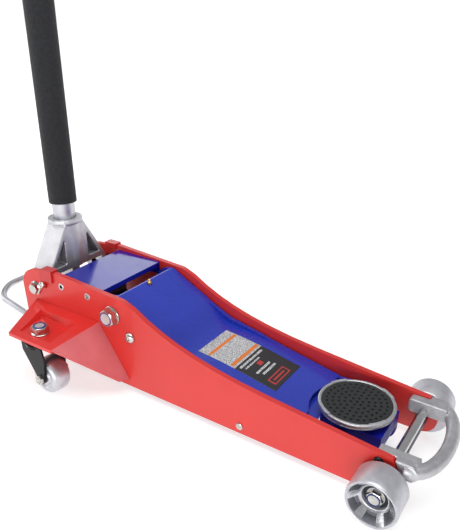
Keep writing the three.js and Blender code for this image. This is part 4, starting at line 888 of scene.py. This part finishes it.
def labelMaterials():
    material, tree, shader = finish("labelPale", coat=0.3)
    point = objectPoint(tree, centre=((shiftX + label["rear"]) * mm, 0, 0))
    split = tree.nodes.new("ShaderNodeSeparateXYZ")
    link(tree, point, split.inputs["Vector"])
    row = tree.nodes.new("ShaderNodeMath")
    row.operation = "PINGPONG"
    row.inputs[1].default_value = 0.00105
    link(tree, split.outputs["X"], row.inputs[0])
    strokes = tree.nodes.new("ShaderNodeMath")
    strokes.operation = "GREATER_THAN"
    strokes.inputs[1].default_value = 0.00045
    link(tree, row.outputs["Value"], strokes.inputs[0])
    words = tree.nodes.new("ShaderNodeTexNoise")
    words.inputs["Scale"].default_value = 900
    stretched = objectPoint(tree, scale=(0.5, 0.75, 0.1))
    link(tree, stretched, words.inputs["Vector"])
    gaps = spread(tree, words.outputs["Fac"], 0.42, 0.5, 0, 1)
    ink = tree.nodes.new("ShaderNodeMath")
    ink.operation = "MULTIPLY"
    link(tree, strokes.outputs["Value"], ink.inputs[0])
    link(tree, gaps, ink.inputs[1])
    link(tree, ramp(tree, ink.outputs["Value"], [(0.0, (0.70, 0.71, 0.72)), (1.0, (0.04, 0.04, 0.045))]),
         shader.inputs["Base Color"])
    link(tree, spread(tree, noise(tree, point, 300), 0.3, 0.7, 0.4, 0.5), shader.inputs["Roughness"])
    made = [material]
    for name, colour in (("labelBlack", (0.014, 0.014, 0.016)), ("labelOrange", (0.80, 0.20, 0.02)),
                         ("labelRed", (0.55, 0.03, 0.03))):
        material, tree, shader = finish(name, coat=0.3)
        deeper = tuple(c * 0.8 for c in colour)
        point = objectPoint(tree)
        link(tree, ramp(tree, noise(tree, point, 500, 4), [(0.3, deeper), (0.7, colour)]),
             shader.inputs["Base Color"])
        link(tree, spread(tree, noise(tree, point, 300), 0.3, 0.7, 0.38, 0.48), shader.inputs["Roughness"])
        made.append(material)
    return made


def armLabel():
    bm = bmesh.new()
    length = label["front"] - label["rear"]
    bmesh.ops.create_grid(bm, x_segments=round(length / label["cell"]),
                          y_segments=round(2 * label["half"] / label["cell"]), size=0.5)
    bmesh.ops.scale(bm, vec=(length * mm, 2 * label["half"] * mm, 1), verts=bm.verts)
    middle = (label["rear"] + label["front"]) / 2
    bmesh.ops.translate(bm, vec=((shiftX + middle) * mm, label["across"] * mm, 0.3), verts=bm.verts)
    dg = bpy.context.evaluated_depsgraph_get()
    surface = BVHTree.FromObject(bpy.data.objects["lift_arm_dressed"], dg)
    for face in bm.faces:
        spot = face.calc_center_median()
        face.material_index = labelInk(spot.x / mm - shiftX, spot.y / mm - label["across"])
    for vert in bm.verts:
        hit = surface.ray_cast(vert.co, Vector((0, 0, -1)))[0]
        vert.co.z = hit.z + 0.25 * mm
    return bm


labelPiece = addPiece("arm_label", armLabel(), labelMaterials(), "lift_arm", angle=50, replaced=False)
thicken = labelPiece.modifiers.new("Solidify", "SOLIDIFY")
thicken.thickness = label["thickness"] * mm
thicken.offset = -1
print("label done")


# floor, lights and camera

floorSize = {"half": 14.0, "low": (0.48, 0.48, 0.48), "high": (0.52, 0.52, 0.52), "near": 0.66, "far": 0.97}
bm = bmesh.new()
bmesh.ops.create_grid(bm, x_segments=1, y_segments=1, size=floorSize["half"])
floorMesh = bpy.data.meshes.new("floor")
bm.to_mesh(floorMesh)
bm.free()
floor = bpy.data.objects.new("floor", floorMesh)
collection.objects.link(floor)
floorMaterial, floorTree, floorShader = finish("paleFloor", specular=0.1)
link(floorTree, ramp(floorTree, noise(floorTree, objectPoint(floorTree), 3),
                     [(0.3, floorSize["low"]), (0.7, floorSize["high"])]), floorShader.inputs["Base Color"])
floorShader.inputs["Roughness"].default_value = 0.75
floorShader.inputs["Emission Color"].default_value = (1, 1, 1, 1)
reach = floorTree.nodes.new("ShaderNodeVectorMath")
reach.operation = "LENGTH"
link(floorTree, objectPoint(floorTree), reach.inputs[0])
link(floorTree, spread(floorTree, reach.outputs["Value"], 0.7, 2.4, floorSize["near"], floorSize["far"]),
     floorShader.inputs["Emission Strength"])
floorMesh.materials.append(floorMaterial)

sky = {"horizon": (1.05, 1.05, 1.05), "middle": (0.34, 0.34, 0.35), "zenith": (0.42, 0.42, 0.43)}
world = bpy.data.worlds.new("studio")
world.use_nodes = True
bpy.context.scene.world = world
bpy.context.scene.view_settings.view_transform = "Standard"
worldTree = world.node_tree
direction = worldTree.nodes.new("ShaderNodeTexCoord").outputs["Generated"]
height = worldTree.nodes.new("ShaderNodeSeparateXYZ")
link(worldTree, direction, height.inputs["Vector"])
link(worldTree, ramp(worldTree, spread(worldTree, height.outputs["Z"], -1, 1, 0, 1), [
    (0.0, sky["horizon"]), (0.52, sky["horizon"]), (0.59, sky["middle"]), (1.0, sky["zenith"])]),
     worldTree.nodes["Background"].inputs["Color"])

lamps = {
    "overhead": {"at": (0.15, -0.35, 2.3), "to": (0.0, 0, 0.1), "size": (2.2, 1.5), "power": 36},
    "nearSide": {"at": (0.6, -2.4, 0.32), "to": (0.0, 0, 0.1), "size": (2.2, 0.56), "power": 26},
    "rearSide": {"at": (-2.2, -0.9, 1.1), "to": (-0.2, 0, 0.2), "size": (0.9, 1.4), "power": 9},
    "coverCard": {"at": (-1.42, 1.56, 1.08), "to": (-0.18, 0, 0.17), "size": (0.80, 0.85), "power": 3.2},
}
for name, lamp in lamps.items():
    light = bpy.data.lights.new(name, "AREA")
    light.shape = "RECTANGLE"
    light.size, light.size_y = lamp["size"]
    light.energy = lamp["power"]
    holder = bpy.data.objects.new(name, light)
    holder.location = lamp["at"]
    aim = Vector(lamp["to"]) - Vector(lamp["at"])
    holder.rotation_euler = aim.to_track_quat("-Z", "Y").to_euler()
    collection.objects.link(holder)

view = {"x": 160.9, "y": -716.4, "z": 614.3, "yaw": 122.919, "pitch": -23.614, "roll": 0.796,
        "lens": 41.02}
camera = bpy.data.cameras.new("camera")
camera.lens = view["lens"]
camera.sensor_width = 36
camera.clip_end = 50
cameraHolder = bpy.data.objects.new("camera", camera)
yaw, pitch, roll = (math.radians(view[name]) for name in ("yaw", "pitch", "roll"))
ahead = Vector((math.cos(pitch) * math.cos(yaw), math.cos(pitch) * math.sin(yaw), math.sin(pitch)))
right = ahead.cross(Vector((0, 0, 1))).normalized()
up = right.cross(ahead)
rolledRight = right * math.cos(roll) + up * math.sin(roll)
rolledUp = -right * math.sin(roll) + up * math.cos(roll)
place = Matrix((rolledRight, rolledUp, -ahead)).transposed().to_4x4()
place.translation = Vector(((view["x"] + shiftX) * mm, view["y"] * mm, view["z"] * mm))
cameraHolder.matrix_world = place
collection.objects.link(cameraHolder)
bpy.context.scene.camera = cameraHolder
print("floor, lights and camera set")
